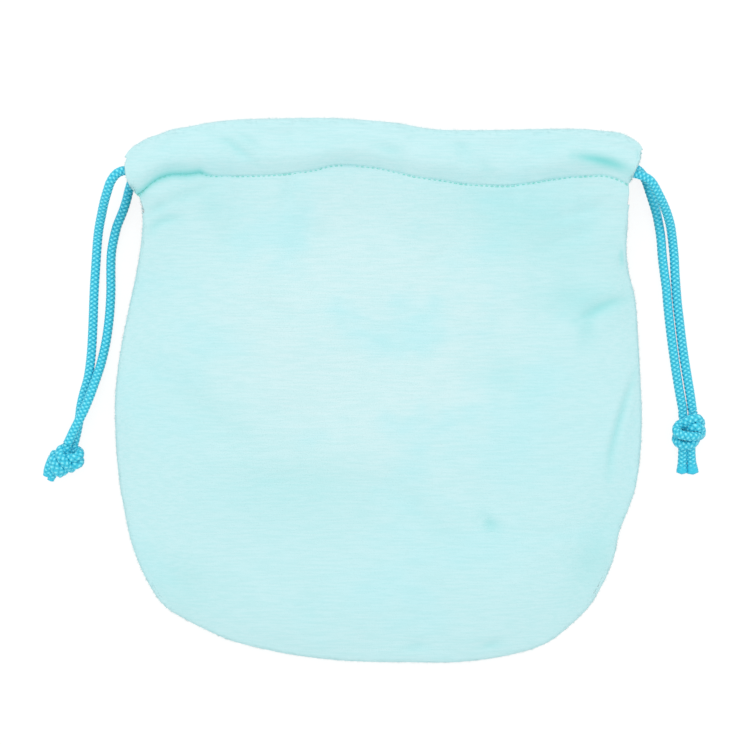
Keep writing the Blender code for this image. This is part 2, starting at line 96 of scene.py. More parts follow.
def unit(vectors: Array) -> Array:
    """The same vectors at length 1."""
    return vectors / np.maximum(np.linalg.norm(vectors, axis=-1, keepdims=True), TINY)


def lengths_along(points: Array) -> Array:
    """Length of a polyline from its start to each of its points."""
    steps = np.linalg.norm(np.diff(points, axis=0), axis=1)
    return np.concatenate([[0.0], np.cumsum(steps)])


def read_at(points: Array, wanted: Array) -> Array:
    """Points of a polyline at wanted lengths from its start."""
    along = lengths_along(points)
    return np.stack([np.interp(wanted, along, column) for column in points.T], axis=-1)


def read_share(points: Array, share: Array) -> Array:
    """Points of a polyline at shares of its length, from 0 to 1."""
    return read_at(points, share * lengths_along(points)[-1])


def between_rows(values: Array, share: Array) -> Array:
    """Values read between the rows of a table, at shares of its height from 0 to 1."""
    places = np.linspace(0.0, 1.0, len(values))
    return np.stack([np.interp(share, places, column) for column in values.T], axis=-1)


def smooth(points: Array, count: int, samples: int = 16) -> Array:
    """A smooth curve through given points.

    Each span is the cubic whose slope at a point is half the step between its two neighbours.

    Args:
        points: the points that the curve passes through, one a row.
        count: how many points of the curve are wanted.
        samples: how finely each span is worked out first.

    Returns:
        Points of the curve at even steps of its length.
    """
    p = np.asarray(points, float)
    p = np.vstack([2 * p[0] - p[1], p, 2 * p[-1] - p[-2]])
    a, b, c, d = (p[k:len(p) - 3 + k, None] for k in range(4))
    t = np.linspace(0.0, 1.0, samples, endpoint=False)[None, :, None]
    bend = (2 * a - 5 * b + 4 * c - d) * t**2 + (3 * b - a - 3 * c + d) * t**3
    spans = 0.5 * (2 * b + (c - a) * t + bend)
    fine = np.vstack([spans.reshape(-1, p.shape[1]), p[-2:-1]])
    return read_share(fine, np.linspace(0.0, 1.0, count))


def crowded(count: int, at_start: float, at_end: float, reach: float, samples: int = 2001) -> Array:
    """Places from 0 to 1 that lie closer together near the ends.

    The number of places to a length is 1, plus a share that fades from each end with e to the
    power of minus the distance over reach.

    Args:
        count: how many places.
        at_start: how much closer together they are at 0.
        at_end: how much closer together they are at 1.
        reach: how far the crowding reaches, as a share of the whole.
        samples: how finely the number of places to a length is summed.

    Returns:
        The places in rising order.
    """
    t = np.linspace(0.0, 1.0, samples)
    density = 1.0 + at_start * np.exp(-t / reach) + at_end * np.exp(-(1.0 - t) / reach)
    total = np.concatenate([[0.0], np.cumsum(0.5 * (density[1:] + density[:-1]))])
    return np.interp(np.linspace(0.0, total[-1], count), total, t)


def nearest(points: Array, line: Array) -> tuple[Array, Array]:
    """Shortest distance from each point to a polyline, and where on the line that is.

    A point is dropped on to each straight piece, held between the piece's ends, and the nearest
    drop counts.

    Args:
        points: the points, one a row, in the plane.
        line: the polyline, one point a row, in the plane.

    Returns:
        The distances, and the shares of the line's length, from 0 to 1.
    """
    best = np.full(len(points), np.inf)
    share = np.zeros(len(points))
    along = lengths_along(line)
    for start, step, before in zip(line[:-1], np.diff(line, axis=0), along):
        offset = points - start
        part = np.clip(offset @ step / max(step @ step, TINY), 0.0, 1.0)
        distance = np.linalg.norm(offset - part[:, None] * step, axis=1)
        closer = distance < best
        best = np.where(closer, distance, best)
        share = np.where(closer, (before + part * np.linalg.norm(step)) / along[-1], share)
    return best, share


def moved(line: Array, distance: Array | float) -> Array:
    """A line in the plane moved square to itself, to its right where the distance is positive."""
    along = unit(np.gradient(line, axis=0))
    return line + np.stack([along[:, 1], -along[:, 0]], axis=1) * np.reshape(distance, (-1, 1))


def fitted(line: Array, start: Array, end: Array) -> Array:
    """A line moved to start and end at two places, by changes that fade with the square of t."""
    t = np.linspace(0.0, 1.0, len(line))[:, None]
    return line + (start - line[0]) * (1.0 - t) ** 2 + (end - line[-1]) * t**2


def patch(bottom: Array, top: Array, left: Array, right: Array, u: Array, v: Array) -> Array:
    """Fill four edges with a smooth net of points.

    A point is the blend between bottom and top, plus the blend between left and right, less the
    blend of the four corners.

    Args:
        bottom: the edge where v is 0, from left to right.
        top: the edge where v is 1.
        left: the edge where u is 0, from bottom to top.
        right: the edge where u is 1.
        u: shares across, one for each column.
        v: shares up, one for each row.

    Returns:
        A net of points, rows by columns by two.
    """
    across, up = u[None, :, None], v[:, None, None]
    upright = (1 - up) * read_share(bottom, u)[None] + up * read_share(top, u)[None]
    level = (1 - across) * read_share(left, v)[:, None] + across * read_share(right, v)[:, None]
    low = (1 - across) * bottom[0] + across * bottom[-1]
    high = (1 - across) * top[0] + across * top[-1]
    return upright + level - (1 - up) * low - up * high


def net_quads(rows: int, columns: int) -> Array:
    """Corner numbers of a net's faces, which face +Z where rows run to +Y and columns to +X."""
    first = (np.arange(rows - 1)[:, None] * columns + np.arange(columns - 1)[None, :]).ravel()
    return np.stack([first, first + 1, first + columns + 1, first + columns], axis=1)


@dataclass
class Shell:
    """Points and faces of a surface, with one number at each point for its material."""

    vertices: Array
    quads: Array
    triangles: Array
    values: Array

    def make(self, name: str, attribute: str, finish: Material) -> Object:
        """Put the surface into a new smooth mesh object.

        Args:
            name: the piece's name.
            attribute: what the number at each point is called.
            finish: the piece's material.

        Returns:
            The object, in the scene and riding on the pouch.
        """
        corners = np.concatenate([self.quads.ravel(), self.triangles.ravel()]).astype(np.int32)
        sizes = np.concatenate([np.full(len(self.quads), 4), np.full(len(self.triangles), 3)])
        starts = np.concatenate([[0], np.cumsum(sizes)[:-1]]).astype(np.int32)
        mesh = bpy.data.meshes.new(name)
        mesh.vertices.add(len(self.vertices))
        mesh.vertices.foreach_set("co", np.ascontiguousarray(self.vertices, np.float32).ravel())
        mesh.loops.add(len(corners))
        mesh.loops.foreach_set("vertex_index", corners)
        mesh.polygons.add(len(sizes))
        mesh.polygons.foreach_set("loop_start", starts)
        layer = mesh.attributes.new(attribute, "FLOAT", "POINT")
        layer.data.foreach_set("value", np.ascontiguousarray(self.values, np.float32))
        mesh.update(calc_edges=True)
        mesh.validate()
        mesh.shade_smooth()
        mesh.materials.append(finish)
        piece = bpy.data.objects.new(name, mesh)
        bpy.context.scene.collection.objects.link(piece)
        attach(piece, "root")
        LOG.info("%s: %d faces", name, len(mesh.polygons))
        return piece


def as_one(parts: list[Shell]) -> Shell:
    """Several surfaces as one."""
    shifts = np.cumsum([0] + [len(part.vertices) for part in parts[:-1]])
    return Shell(
        np.vstack([part.vertices for part in parts]),
        np.vstack([part.quads + shift for part, shift in zip(parts, shifts)]),
        np.vstack([part.triangles + shift for part, shift in zip(parts, shifts)]),
        np.concatenate([part.values for part in parts]),
    )


def repeated(shape: Shell, origins: Array, axes: Array) -> Shell:
    """One small shape set down many times.

    Each point is the origin plus the shape's own three coordinates along three given axes.

    Args:
        shape: the shape in its own coordinates.
        origins: where each copy goes, one a row.
        axes: three vectors for each copy, whose lengths stretch it.

    Returns:
        All copies as one surface.
    """
    count, size = len(origins), len(shape.vertices)
    vertices = origins[:, None] + np.einsum("tk,nkj->ntj", shape.vertices, axes)
    shifts = (np.arange(count) * size)[:, None, None]
    return Shell(
        vertices.reshape(-1, 3),
        (shape.quads[None] + shifts).reshape(-1, 4),
        (shape.triangles[None] + shifts).reshape(-1, 3),
        np.tile(shape.values, count),
    )


def closed_rings(rings: Array, poles: Array, values: Array) -> Shell:
    """A closed tube from rings of points, whose angles count round its direction.

    Args:
        rings: the points, rings by places round by three.
        poles: the two points that close its start and its end.
        values: one number for each point of the rings.

    Returns:
        The tube, with its faces outwards.
    """
    count, around = rings.shape[:2]
    k = np.arange(around)
    after = (k + 1) % around
    first = (np.arange(count - 1) * around)[:, None]
    quads = np.stack([first + k, first + after, first + around + after, first + around + k], axis=-1)
    last, start, end = (count - 1) * around, count * around, count * around + 1
    start_cap = np.column_stack([np.full(around, start), after, k])
    end_cap = np.column_stack([np.full(around, end), last + k, last + after])
    return Shell(
        np.vstack([rings.reshape(-1, 3), poles]),
        quads.reshape(-1, 4),
        np.vstack([start_cap, end_cap]),
        np.concatenate([values.ravel(), [POLE_VALUE, POLE_VALUE]]),
    )


@dataclass(frozen=True)
class PhotoView:
    """The photograph's view, straight down, and the real place that each of its pixels shows."""

    width_px: int = 741
    height_px: int = 745
    origin_px: Pair = (379.0, 389.3)
    pixel: float = 0.37 * MM
    plane_z: float = 5.0 * MM
    lens_mm: float = 100.0
    sensor_mm: float = 36.0

    @property
    def distance(self) -> float:
        """Height of the camera above the plane on which a pixel has its stated size."""
        return self.pixel * self.height_px * self.lens_mm / self.sensor_mm

    @property
    def centre(self) -> Array:
        """The place under the middle of the picture."""
        x = (self.width_px / 2 - self.origin_px[0]) * self.pixel
        y = (self.origin_px[1] - self.height_px / 2) * self.pixel
        return np.array([x, y])

    def place(self, pixels: Array, z: Array | float) -> Array:
        """Real place of what shows at a pixel and lies at height z.

        The pixel's offset from the middle of the picture, times the pixel size, shrinks in step
        with the distance that is left between z and the camera.

        Args:
            pixels: pixel columns and rows, one pair a row.
            z: the height, one for all or one for each pixel.

        Returns:
            x and y, one pair a row.
        """
        pixels = np.asarray(pixels, float)
        offset = (pixels - [self.width_px / 2, self.height_px / 2]) * [1.0, -1.0] * self.pixel
        shrink = 1.0 - (np.asarray(z, float) - self.plane_z) / self.distance
        return self.centre + offset * np.reshape(shrink, (-1, 1))

    def seen_through(self, points: Array) -> Array:
        """Real places of points that were measured as if all lay on the plane of stated size."""
        shrink = 1.0 - (points[:, 2:] - self.plane_z) / self.distance
        return np.hstack([self.centre + (points[:, :2] - self.centre) * shrink, points[:, 2:]])

    def make_camera(self) -> None:
        """A camera that looks straight down at the middle of the picture."""
        lens = bpy.data.cameras.new("straight_down")
        lens.lens = self.lens_mm
        lens.sensor_width = self.sensor_mm
        camera = bpy.data.objects.new("straight_down", lens)
        camera.location = (*self.centre, self.plane_z + self.distance)
        bpy.context.scene.collection.objects.link(camera)
        bpy.context.scene.camera = camera


VIEW = PhotoView()


@dataclass(frozen=True)
class Heights:
    """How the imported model's cloth, cords and channels are stacked up from the ground."""

    cloth: float = 1.4 * MM
    cord: float = 3.2 * MM
    clearance: float = 0.3 * MM
    seam_gap: float = 0.3 * MM
    edge_fold: float = 1.1 * MM
    slit_y: float = 65.0 * MM
    lift_from_y: float = 30.0 * MM

    @property
    def casing(self) -> float:
        """Thickness of one channel: the cord, its clearance and two plies."""
        return self.cord + 2 * self.clearance + 2 * self.cloth

    @property
    def middle(self) -> float:
        """Height of the pouch's middle plane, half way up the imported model."""
        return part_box("front_panel")[1].z / 2

    @property
    def top_fold(self) -> float:
        """Radius of a channel's top fold, to the middle of the cloth."""
        return (self.casing - self.cloth) / 2

    @property
    def seam(self) -> float:
        """Height of the seam between the panels along the bottom and the belly."""
        return self.cloth + 2 * self.edge_fold + self.seam_gap / 2

    def channel(self, side: Side) -> float:
        """Height of the middle of one channel."""
        return self.middle + side.value * (self.middle - self.casing / 2)

    def inner_ply(self, side: Side) -> float:
        """Height of the middle of a channel's inner ply."""
        return self.middle + side.value * (self.middle - self.casing + self.cloth / 2)

    def stitch(self, side: Side) -> float:
        """Height of the outer ply's middle where the stitches pin it to the inner one."""
        return self.inner_ply(side) + side.value * (self.cloth + self.seam_gap)

    def seam_at(self, y: Array) -> Array:
        """Height of the seam, which lifts towards the slit under the channel."""
        rise = ease((y - self.lift_from_y) / (self.slit_y - self.lift_from_y))
        return self.seam + (self.middle - self.seam) * rise


HEIGHTS = Heights()


@dataclass(frozen=True)
class Outline:
    """The pouch as the photograph shows it: edges, stitch row and channel ends, in pixels."""

    rim: tuple = (
        (140.8, 197), (143.3, 218), (142, 241), (137.3, 272), (130.5, 304), (121, 352), (116.6, 388),
        (115.8, 412), (117, 448), (120.5, 484), (127, 520), (132.8, 544), (141.8, 568), (155, 592.8),
        (167, 607), (183.4, 617.2), (207.4, 629.4), (236.6, 641.4), (290.8, 653.6), (347, 660),
        (410, 661.4), (460, 661), (508, 654.4), (546.6, 642), (576, 618.8), (590, 603.8),
        (597, 592.6), (606.5, 574.4), (614, 554), (618.4, 532), (627.8, 508), (635.4, 484),
        (640, 448), (641, 412), (640, 388),
        (637.5, 340), (634.5, 300), (628, 272), (625.7, 249), (627.3, 218), (627, 190),
    )
    corners: tuple = ((155, 592.8), (597, 592.6))
    stitches: tuple = (
        (137, 194), (142, 191), (155, 180), (169, 174.5), (189, 173.5), (201, 172), (213, 174.8),
        (260, 174.6), (288, 172.6), (315, 169), (331, 164.9), (351, 164.4), (377, 167), (400, 172),
        (418, 176), (443, 179.5), (465, 183), (483, 184), (506, 184.8), (526, 182.6), (548, 179),
        (570, 176), (593, 174.7), (605, 174.9), (619, 179), (628, 184),
    )
    top: tuple = (
        (126, 158), (130, 151), (136, 145), (148, 138), (160, 134), (172, 129.5), (190, 126.5),
        (208, 123), (232, 120), (256, 119), (304, 118), (328, 118), (352, 119), (376, 121),
        (400, 123.5), (424, 128), (448, 130), (496, 130), (544, 129), (580, 129), (604, 131),
        (620, 133), (631, 138), (638, 144), (641.5, 150.5),
    )
    left_end: tuple = ((137, 194), (133, 189), (127.6, 180.6), (125.5, 171), (125, 164), (126, 158))
    right_end: tuple = ((628, 184), (631.5, 178), (635, 170.5), (638.6, 163), (641, 156.5), (641.5, 150.5))


OUTLINE = Outline()


@dataclass(frozen=True)
class Fold:
    """A crease of the cloth with painted shade in it, or a broad zone of painted shade alone, along pixels
    of the photograph.
    """

    line: tuple
    width_mm: float
    depth_mm: float
    painted_shade: float = 0.0
    line_points: int = 20
    end_share: float = 0.06
    fade_power: float = 0.6
    shoulder_height: float = 0.45
    shoulder_width: float = 2.3

    def shape(self, points: Array, z: float) -> tuple[Array, Array]:
        """How far the crease moves the cloth, and how much painted shade it adds.

        A bell-shaped valley with a lower, wider bell added to it as shoulders, faded out at the
        two ends of the line.

        Args:
            points: places on the cloth, one a row.
            z: height at which the photograph shows the cloth.

        Returns:
            The change in height and the share of painted shade at each place.
        """
        line = smooth(VIEW.place(self.line, z), self.line_points)
        away, share = nearest(points, line)
        fade = np.sin(math.pi * np.clip(share, self.end_share, 1.0 - self.end_share)) ** self.fade_power
        width = self.width_mm * MM
        valley = self.shoulder_height * bell(away, self.shoulder_width * width) - bell(away, width)
        return self.depth_mm * MM * fade * valley, self.painted_shade * fade * bell(away, width)


# Each fold: pixel line, width and depth in mm, and painted shade; those of depth 0 are broad zones of
# painted shade alone.
BODY_FOLDS = (
    Fold(((150, 232), (158, 223), (170, 219), (182, 218)), 2.0, 1.2, 0.34),
    Fold(((150, 213), (160, 207), (170, 203)), 2.0, 0.9, 0.24),
    Fold(((228, 192), (231, 215), (226, 245), (229, 262)), 3.6, 0.8, 0.08),
    Fold(((286, 178), (288, 190), (284, 205)), 3.0, 0.6, 0.06),
    Fold(((376, 188), (384, 208), (398, 232), (404, 246)), 4.4, 0.8, 0.06),
    Fold(((418, 268), (436, 258), (452, 248)), 3.0, 0.7, 0.06),
    Fold(((548, 222), (575, 214), (598, 206), (610, 198)), 2.6, 1.1, 0.12),
    Fold(((535, 250), (562, 240), (588, 228), (606, 216)), 3.4, 1.0, 0.10),
    Fold(((622.5, 247), (622.5, 266)), 1.6, 1.2, 0.45),
    Fold(((629, 299), (616, 301), (603, 306), (590, 313), (575, 321)), 2.6, 1.5, 0.55),
    Fold(((592, 311), (588, 325), (586, 342)), 3.4, 1.0, 0.28),
    Fold(((572, 300), (560, 312), (545, 318)), 4.4, 0.7, 0.05),
    Fold(((637.5, 372), (631, 388), (625.5, 402), (617, 430), (611, 455), (609, 480)), 1.7, 1.6, 0.35),
    Fold(((500, 378), (507, 388), (516, 392)), 3.6, 0.7, 0.06),
    Fold(((130, 358), (150, 363), (170, 380), (196, 402), (222, 426), (250, 450)), 5.0, 1.0, 0.08),
    Fold(((215, 488), (255, 482), (300, 480), (345, 482), (385, 486)), 6.0, 0.8, 0.06),
    Fold(((385, 486), (410, 503), (432, 522), (452, 542), (462, 556)), 4.6, 0.9, 0.08),
    Fold(((483, 519), (490, 524), (497, 530)), 2.6, 1.1, 0.38),
    Fold(((505, 529), (540, 533), (575, 530)), 3.4, 0.5, 0.04),
    Fold(((577, 556), (584, 568), (590, 582)), 3.6, 0.9, 0.14),
    Fold(((250, 301), (275, 309), (300, 320)), 3.4, 0.6, 0.05),
    Fold(((265, 408), (275, 411), (286, 412)), 3.6, 0.7, 0.07),
    Fold(((300, 225), (318, 232), (334, 242)), 3.0, 0.5, 0.05),
    Fold(((160, 560), (180, 580), (205, 592)), 5.0, 0.8, 0.07),
    Fold(((300, 580), (310, 610), (318, 632)), 4.4, 0.6, 0.05),
    Fold(((480, 648), (492, 645), (503, 641)), 2.2, 0.9, 0.20),
    Fold(((405, 652), (415, 648), (426, 647)), 2.2, 0.8, 0.16),
    Fold(((440, 200), (500, 215), (560, 235), (610, 255)), 14.0, 0.0, 0.20),
    Fold(((540, 294), (575, 299), (600, 301), (622, 297)), 7.0, 0.0, 0.28),
    Fold(((385, 235), (430, 228), (480, 230)), 9.0, 0.0, 0.08),
    Fold(((205, 188), (212, 205), (226, 218)), 4.5, 0.0, 0.16),
    Fold(((160, 205), (178, 198), (205, 190), (216, 183)), 2.6, 0.9, 0.20),
    Fold(((165, 375), (215, 415), (270, 450)), 9.0, 0.0, 0.12),
    Fold(((215, 478), (270, 486), (330, 486), (390, 490)), 13.0, 0.0, 0.17),
    Fold(((480, 360), (500, 372), (525, 388)), 7.0, 0.0, 0.12),
    Fold(((602, 530), (594, 558), (578, 590)), 8.0, 0.0, 0.22),
    Fold(((150, 570), (180, 585), (215, 592)), 9.0, 0.0, 0.14),
)

CHANNEL_FOLDS = (
    Fold(((150, 178), (164, 170), (182, 166.8), (200, 168)), 1.2, 0.3, 0.28),
    Fold(((216, 137), (230, 144), (244, 154), (256, 162)), 2.2, 1.3, 0.26),
    Fold(((236, 134), (252, 143), (262, 152)), 1.8, 0.9, 0.16),
    Fold(((300, 140), (330, 142), (350, 141)), 3.6, 0.6, 0.05),
    Fold(((374, 148), (388, 150), (402, 158)), 2.4, 1.1, 0.16),
    Fold(((452, 136), (462, 150), (470, 168)), 3.4, 0.9, 0.12),
    Fold(((478, 160), (486, 170), (494, 178)), 2.4, 0.8, 0.14),
    Fold(((536, 148), (556, 143), (580, 140)), 3.0, 1.0, 0.12),
    Fold(((572, 157), (590, 159), (606, 162), (619, 166), (629, 171)), 1.8, 0.8, 0.95),
    Fold(((634.5, 141), (636.5, 148), (637, 156), (635.5, 165)), 0.7, 0.5, 0.22),
)


def new_material(name: str) -> tuple[Material, Tree, bpy.types.Node]:
    """A material with its node tree and its surface shader."""
    material = bpy.data.materials.new(name)
    material.use_nodes = True
    tree = material.node_tree
    return material, tree, tree.nodes["Principled BSDF"]


def add_node(tree: Tree, kind: str, inputs: dict, **settings: str) -> bpy.types.Node:
    """A node with its settings and the values or links of its inputs.

    Args:
        tree: the material's node tree.
        kind: Blender's name for the kind of node.
        inputs: for each input, by name or number, a plain value or another node's output.
        settings: properties of the node itself.

    Returns:
        The new node.
    """
    node = tree.nodes.new(kind)
    for key, value in settings.items():
        setattr(node, key, value)
    for key, value in inputs.items():
        if isinstance(value, Socket):
            tree.links.new(value, node.inputs[key])
        else:
            node.inputs[key].default_value = value
    return node


def step_up(tree: Tree, factor: Socket, low: float, high: float) -> Socket:
    """A smooth step of a factor between two limits, as a number from 0 to 1."""
    inputs = {"Value": factor, "From Min": low, "From Max": high}
    return add_node(tree, "ShaderNodeMapRange", inputs, interpolation_type="SMOOTHSTEP").outputs["Result"]


def arithmetic(tree: Tree, operation: str, a: Socket | float, b: Socket | float) -> Socket:
    """Two numbers put together by an operation such as ADD or MULTIPLY."""
    return add_node(tree, "ShaderNodeMath", {0: a, 1: b}, operation=operation).outputs[0]


def blended(tree: Tree, factor: Socket, a: Socket | tuple, b: Socket | tuple) -> Socket:
    """A colour between two colours, each a link or three numbers, by a factor."""
    first, second = (c if isinstance(c, Socket) else (*c, 1.0) for c in (a, b))
    return add_node(tree, "ShaderNodeMix", {0: factor, 6: first, 7: second}, data_type="RGBA").outputs[2]


def noise(tree: Tree, patch_size: Triple, detail: float, roughness: float = 0.55) -> Socket:
    """Cloudy noise whose patches have a size along each axis of the object."""
    place = add_node(tree, "ShaderNodeTexCoord", {}).outputs["Object"]
    scale = tuple(1.0 / size for size in patch_size)
    stretched = add_node(tree, "ShaderNodeMapping", {"Vector": place, "Scale": scale}).outputs["Vector"]
    inputs = {"Vector": stretched, "Scale": 1.0, "Detail": detail, "Roughness": roughness}
    return add_node(tree, "ShaderNodeTexNoise", inputs).outputs[0]


def roughen(tree: Tree, shader: bpy.types.Node, height: Socket, strength: float, depth: float) -> None:
    """Make a shader's surface look uneven by a height."""
    inputs = {"Strength": strength, "Distance": depth, "Height": height}
    bump = add_node(tree, "ShaderNodeBump", inputs)
    tree.links.new(bump.outputs[0], shader.inputs["Normal"])


@dataclass(frozen=True)
class PlushFinish:
    """Short-pile plush in pale mint, with rows of pile, a brushed nap, painted light that is paler in the
    middle and darker towards the edges, and painted shade in creases.
    """

    # pale is painted light in the middle and outer is painted shade towards the edges; deep is painted
    # shade for creases and also the colour between rows of pile.
    pale: Triple = (0.655, 0.880, 0.900)
    outer: Triple = (0.588, 0.868, 0.895)
    brushed: Triple = (0.560, 0.872, 0.905)
    deep: Triple = (0.235, 0.730, 0.725)
    middle: Triple = (-6.0 * MM, 20.0 * MM, 0.0)
    middle_reach: Triple = (78.0 * MM, 74.0 * MM, 400.0 * MM)
    edge_shade_limits: Pair = (0.35, 1.1)
    nap_size: Triple = (36.0 * MM, 22.0 * MM, 36.0 * MM)
    nap_limits: Pair = (0.48, 0.72)
    row_size: Triple = (9.0 * MM, 0.74 * MM, 0.74 * MM)
    row_limits: Pair = (0.35, 0.65)
    row_share: float = 0.13
    grain_size: Triple = (0.45 * MM, 0.45 * MM, 0.45 * MM)
    pile_strength: float = 0.6
    pile_depth: float = 0.22 * MM
    roughness: float = 0.92
    specular: float = 0.2
    sheen: float = 0.30
    sheen_roughness: float = 0.45
    sheen_tint: Triple = (0.90, 1.0, 1.0)

    def from_middle(self, tree: Tree) -> Socket:
        """Distance from the panel's middle over its reach: the painted light is palest in the middle and
        shades darker outwards.
        """
        place = add_node(tree, "ShaderNodeTexCoord", {}).outputs["Object"]
        offset = add_node(tree, "ShaderNodeVectorMath", {0: place, 1: self.middle}, operation="SUBTRACT")
        inputs = {0: offset.outputs[0], 1: self.middle_reach}
        share = add_node(tree, "ShaderNodeVectorMath", inputs, operation="DIVIDE")
        length = add_node(tree, "ShaderNodeVectorMath", {0: share.outputs[0]}, operation="LENGTH")
        return length.outputs["Value"]

    def make(self) -> Material:
        """The plush material."""
        material, tree, shader = new_material("mint_plush")
        clouds = noise(tree, self.nap_size, detail=3.0)
        rows = noise(tree, self.row_size, detail=2.0)
        grain = noise(tree, self.grain_size, detail=2.0)
        crease = add_node(tree, "ShaderNodeAttribute", {}, attribute_name="crease").outputs["Fac"]
        # Painted light: pale in the middle, shading to the darker outer colour towards the edges.
        outwards = step_up(tree, self.from_middle(tree), *self.edge_shade_limits)
        colour = blended(tree, outwards, self.pale, self.outer)
        colour = blended(tree, step_up(tree, clouds, *self.nap_limits), colour, self.brushed)
        between = step_up(tree, rows, *self.row_limits)
        colour = blended(tree, arithmetic(tree, "MULTIPLY", between, self.row_share), colour, self.deep)
        # Painted shade from the crease attribute: creases, the groove along the stitches and the turned
        # edges.
        colour = blended(tree, crease, colour, self.deep)
        tree.links.new(colour, shader.inputs["Base Color"])
        pile = arithmetic(tree, "ADD", rows, grain)
        roughen(tree, shader, pile, self.pile_strength, self.pile_depth)
        shader.inputs["Roughness"].default_value = self.roughness
        shader.inputs["Specular IOR Level"].default_value = self.specular
        shader.inputs["Sheen Weight"].default_value = self.sheen
        shader.inputs["Sheen Roughness"].default_value = self.sheen_roughness
        shader.inputs["Sheen Tint"].default_value = (*self.sheen_tint, 1.0)
        return material


@dataclass(frozen=True)
class BraidFinish:
    """Braided synthetic cord in bright blue, with painted shade in the pits between its yarns and painted
    highlights on their crests.
    """

    pit_painted_shade: Triple = (0.001, 0.260, 0.430)
    yarn: Triple = (0.022, 0.590, 0.800)
    crest_painted_highlight: Triple = (0.240, 0.900, 1.000)
    pit_shade_limits: Pair = (0.10, 0.46)
    crest_highlight_limits: Pair = (0.68, 1.0)
    filament: Triple = (0.12 * MM, 0.12 * MM, 0.12 * MM)
    filament_strength: float = 0.3
    filament_depth: float = 0.05 * MM
    roughness: float = 0.42
    sheen: float = 0.15

    def make(self) -> Material:
        """The cord material."""
        material, tree, shader = new_material("blue_braid")
        relief = add_node(tree, "ShaderNodeAttribute", {}, attribute_name="relief").outputs["Fac"]
        # Painted shade in the pits and painted highlights on the crests, read from the relief.
        colour = blended(tree, step_up(tree, relief, *self.pit_shade_limits), self.pit_painted_shade, self.yarn)
        colour = blended(tree, step_up(tree, relief, *self.crest_highlight_limits), colour, self.crest_painted_highlight)
        tree.links.new(colour, shader.inputs["Base Color"])
        fuzz = noise(tree, self.filament, detail=1.0)
        roughen(tree, shader, fuzz, self.filament_strength, self.filament_depth)
        shader.inputs["Roughness"].default_value = self.roughness
        shader.inputs["Sheen Weight"].default_value = self.sheen
        return material


@dataclass(frozen=True)
class ThreadFinish:
    """Sewing thread, a little deeper than the plush."""

    deep: Triple = (0.200, 0.700, 0.630)
    light: Triple = (0.350, 0.800, 0.750)
    twist: Triple = (0.5 * MM, 0.5 * MM, 0.5 * MM)
    twist_limits: Pair = (0.35, 0.65)
    roughness: float = 0.6

    def make(self) -> Material:
        """The thread material."""
        material, tree, shader = new_material("teal_thread")
        twist = step_up(tree, noise(tree, self.twist, detail=1.0), *self.twist_limits)
        tree.links.new(blended(tree, twist, self.deep, self.light), shader.inputs["Base Color"])
        shader.inputs["Roughness"].default_value = self.roughness
        return material


@dataclass(frozen=True)
class Unevenness:
    """How sewn cloth fails to lie flat: gathers along the stitches and broad soft swells."""

    gather_pitch: tuple[float, ...] = (6.3 * MM, 9.1 * MM, 15.7 * MM)
    gather_height: tuple[float, ...] = (0.10 * MM, 0.14 * MM, 0.16 * MM)
    gather_phase: float = 3.0
    gather_reach: float = 7.0 * MM
    swell_height: float = 0.16 * MM
    swell_length: Pair = (22.0 * MM, 60.0 * MM)
    swell_count: int = 9
    seed: int = 4

    def gathers(self, x: Array, away: Array) -> Array:
        """Three sine waves along x, times s e^(1 - s), where s is the distance over the reach."""
        waves = sum(
            height * np.sin(2 * math.pi * x / pitch + self.gather_phase * turn)
            for turn, (pitch, height) in enumerate(zip(self.gather_pitch, self.gather_height))
        )
        share = np.maximum(away, 0.0) / self.gather_reach
        return waves * share * np.exp(1.0 - share)

    def swells(self, points: Array) -> Array:
        """Sum of sine waves that run in many directions over the cloth."""
        rng = np.random.default_rng(self.seed)
        angles = rng.uniform(0.0, math.pi, self.swell_count)
        shortest, longest = self.swell_length
        waves = 2 * math.pi / rng.uniform(shortest, longest, self.swell_count)
        starts = rng.uniform(0.0, 2 * math.pi, self.swell_count)
        heading = np.stack([np.cos(angles), np.sin(angles)]) * waves
        return self.swell_height * np.sin(points @ heading + starts).sum(axis=1)


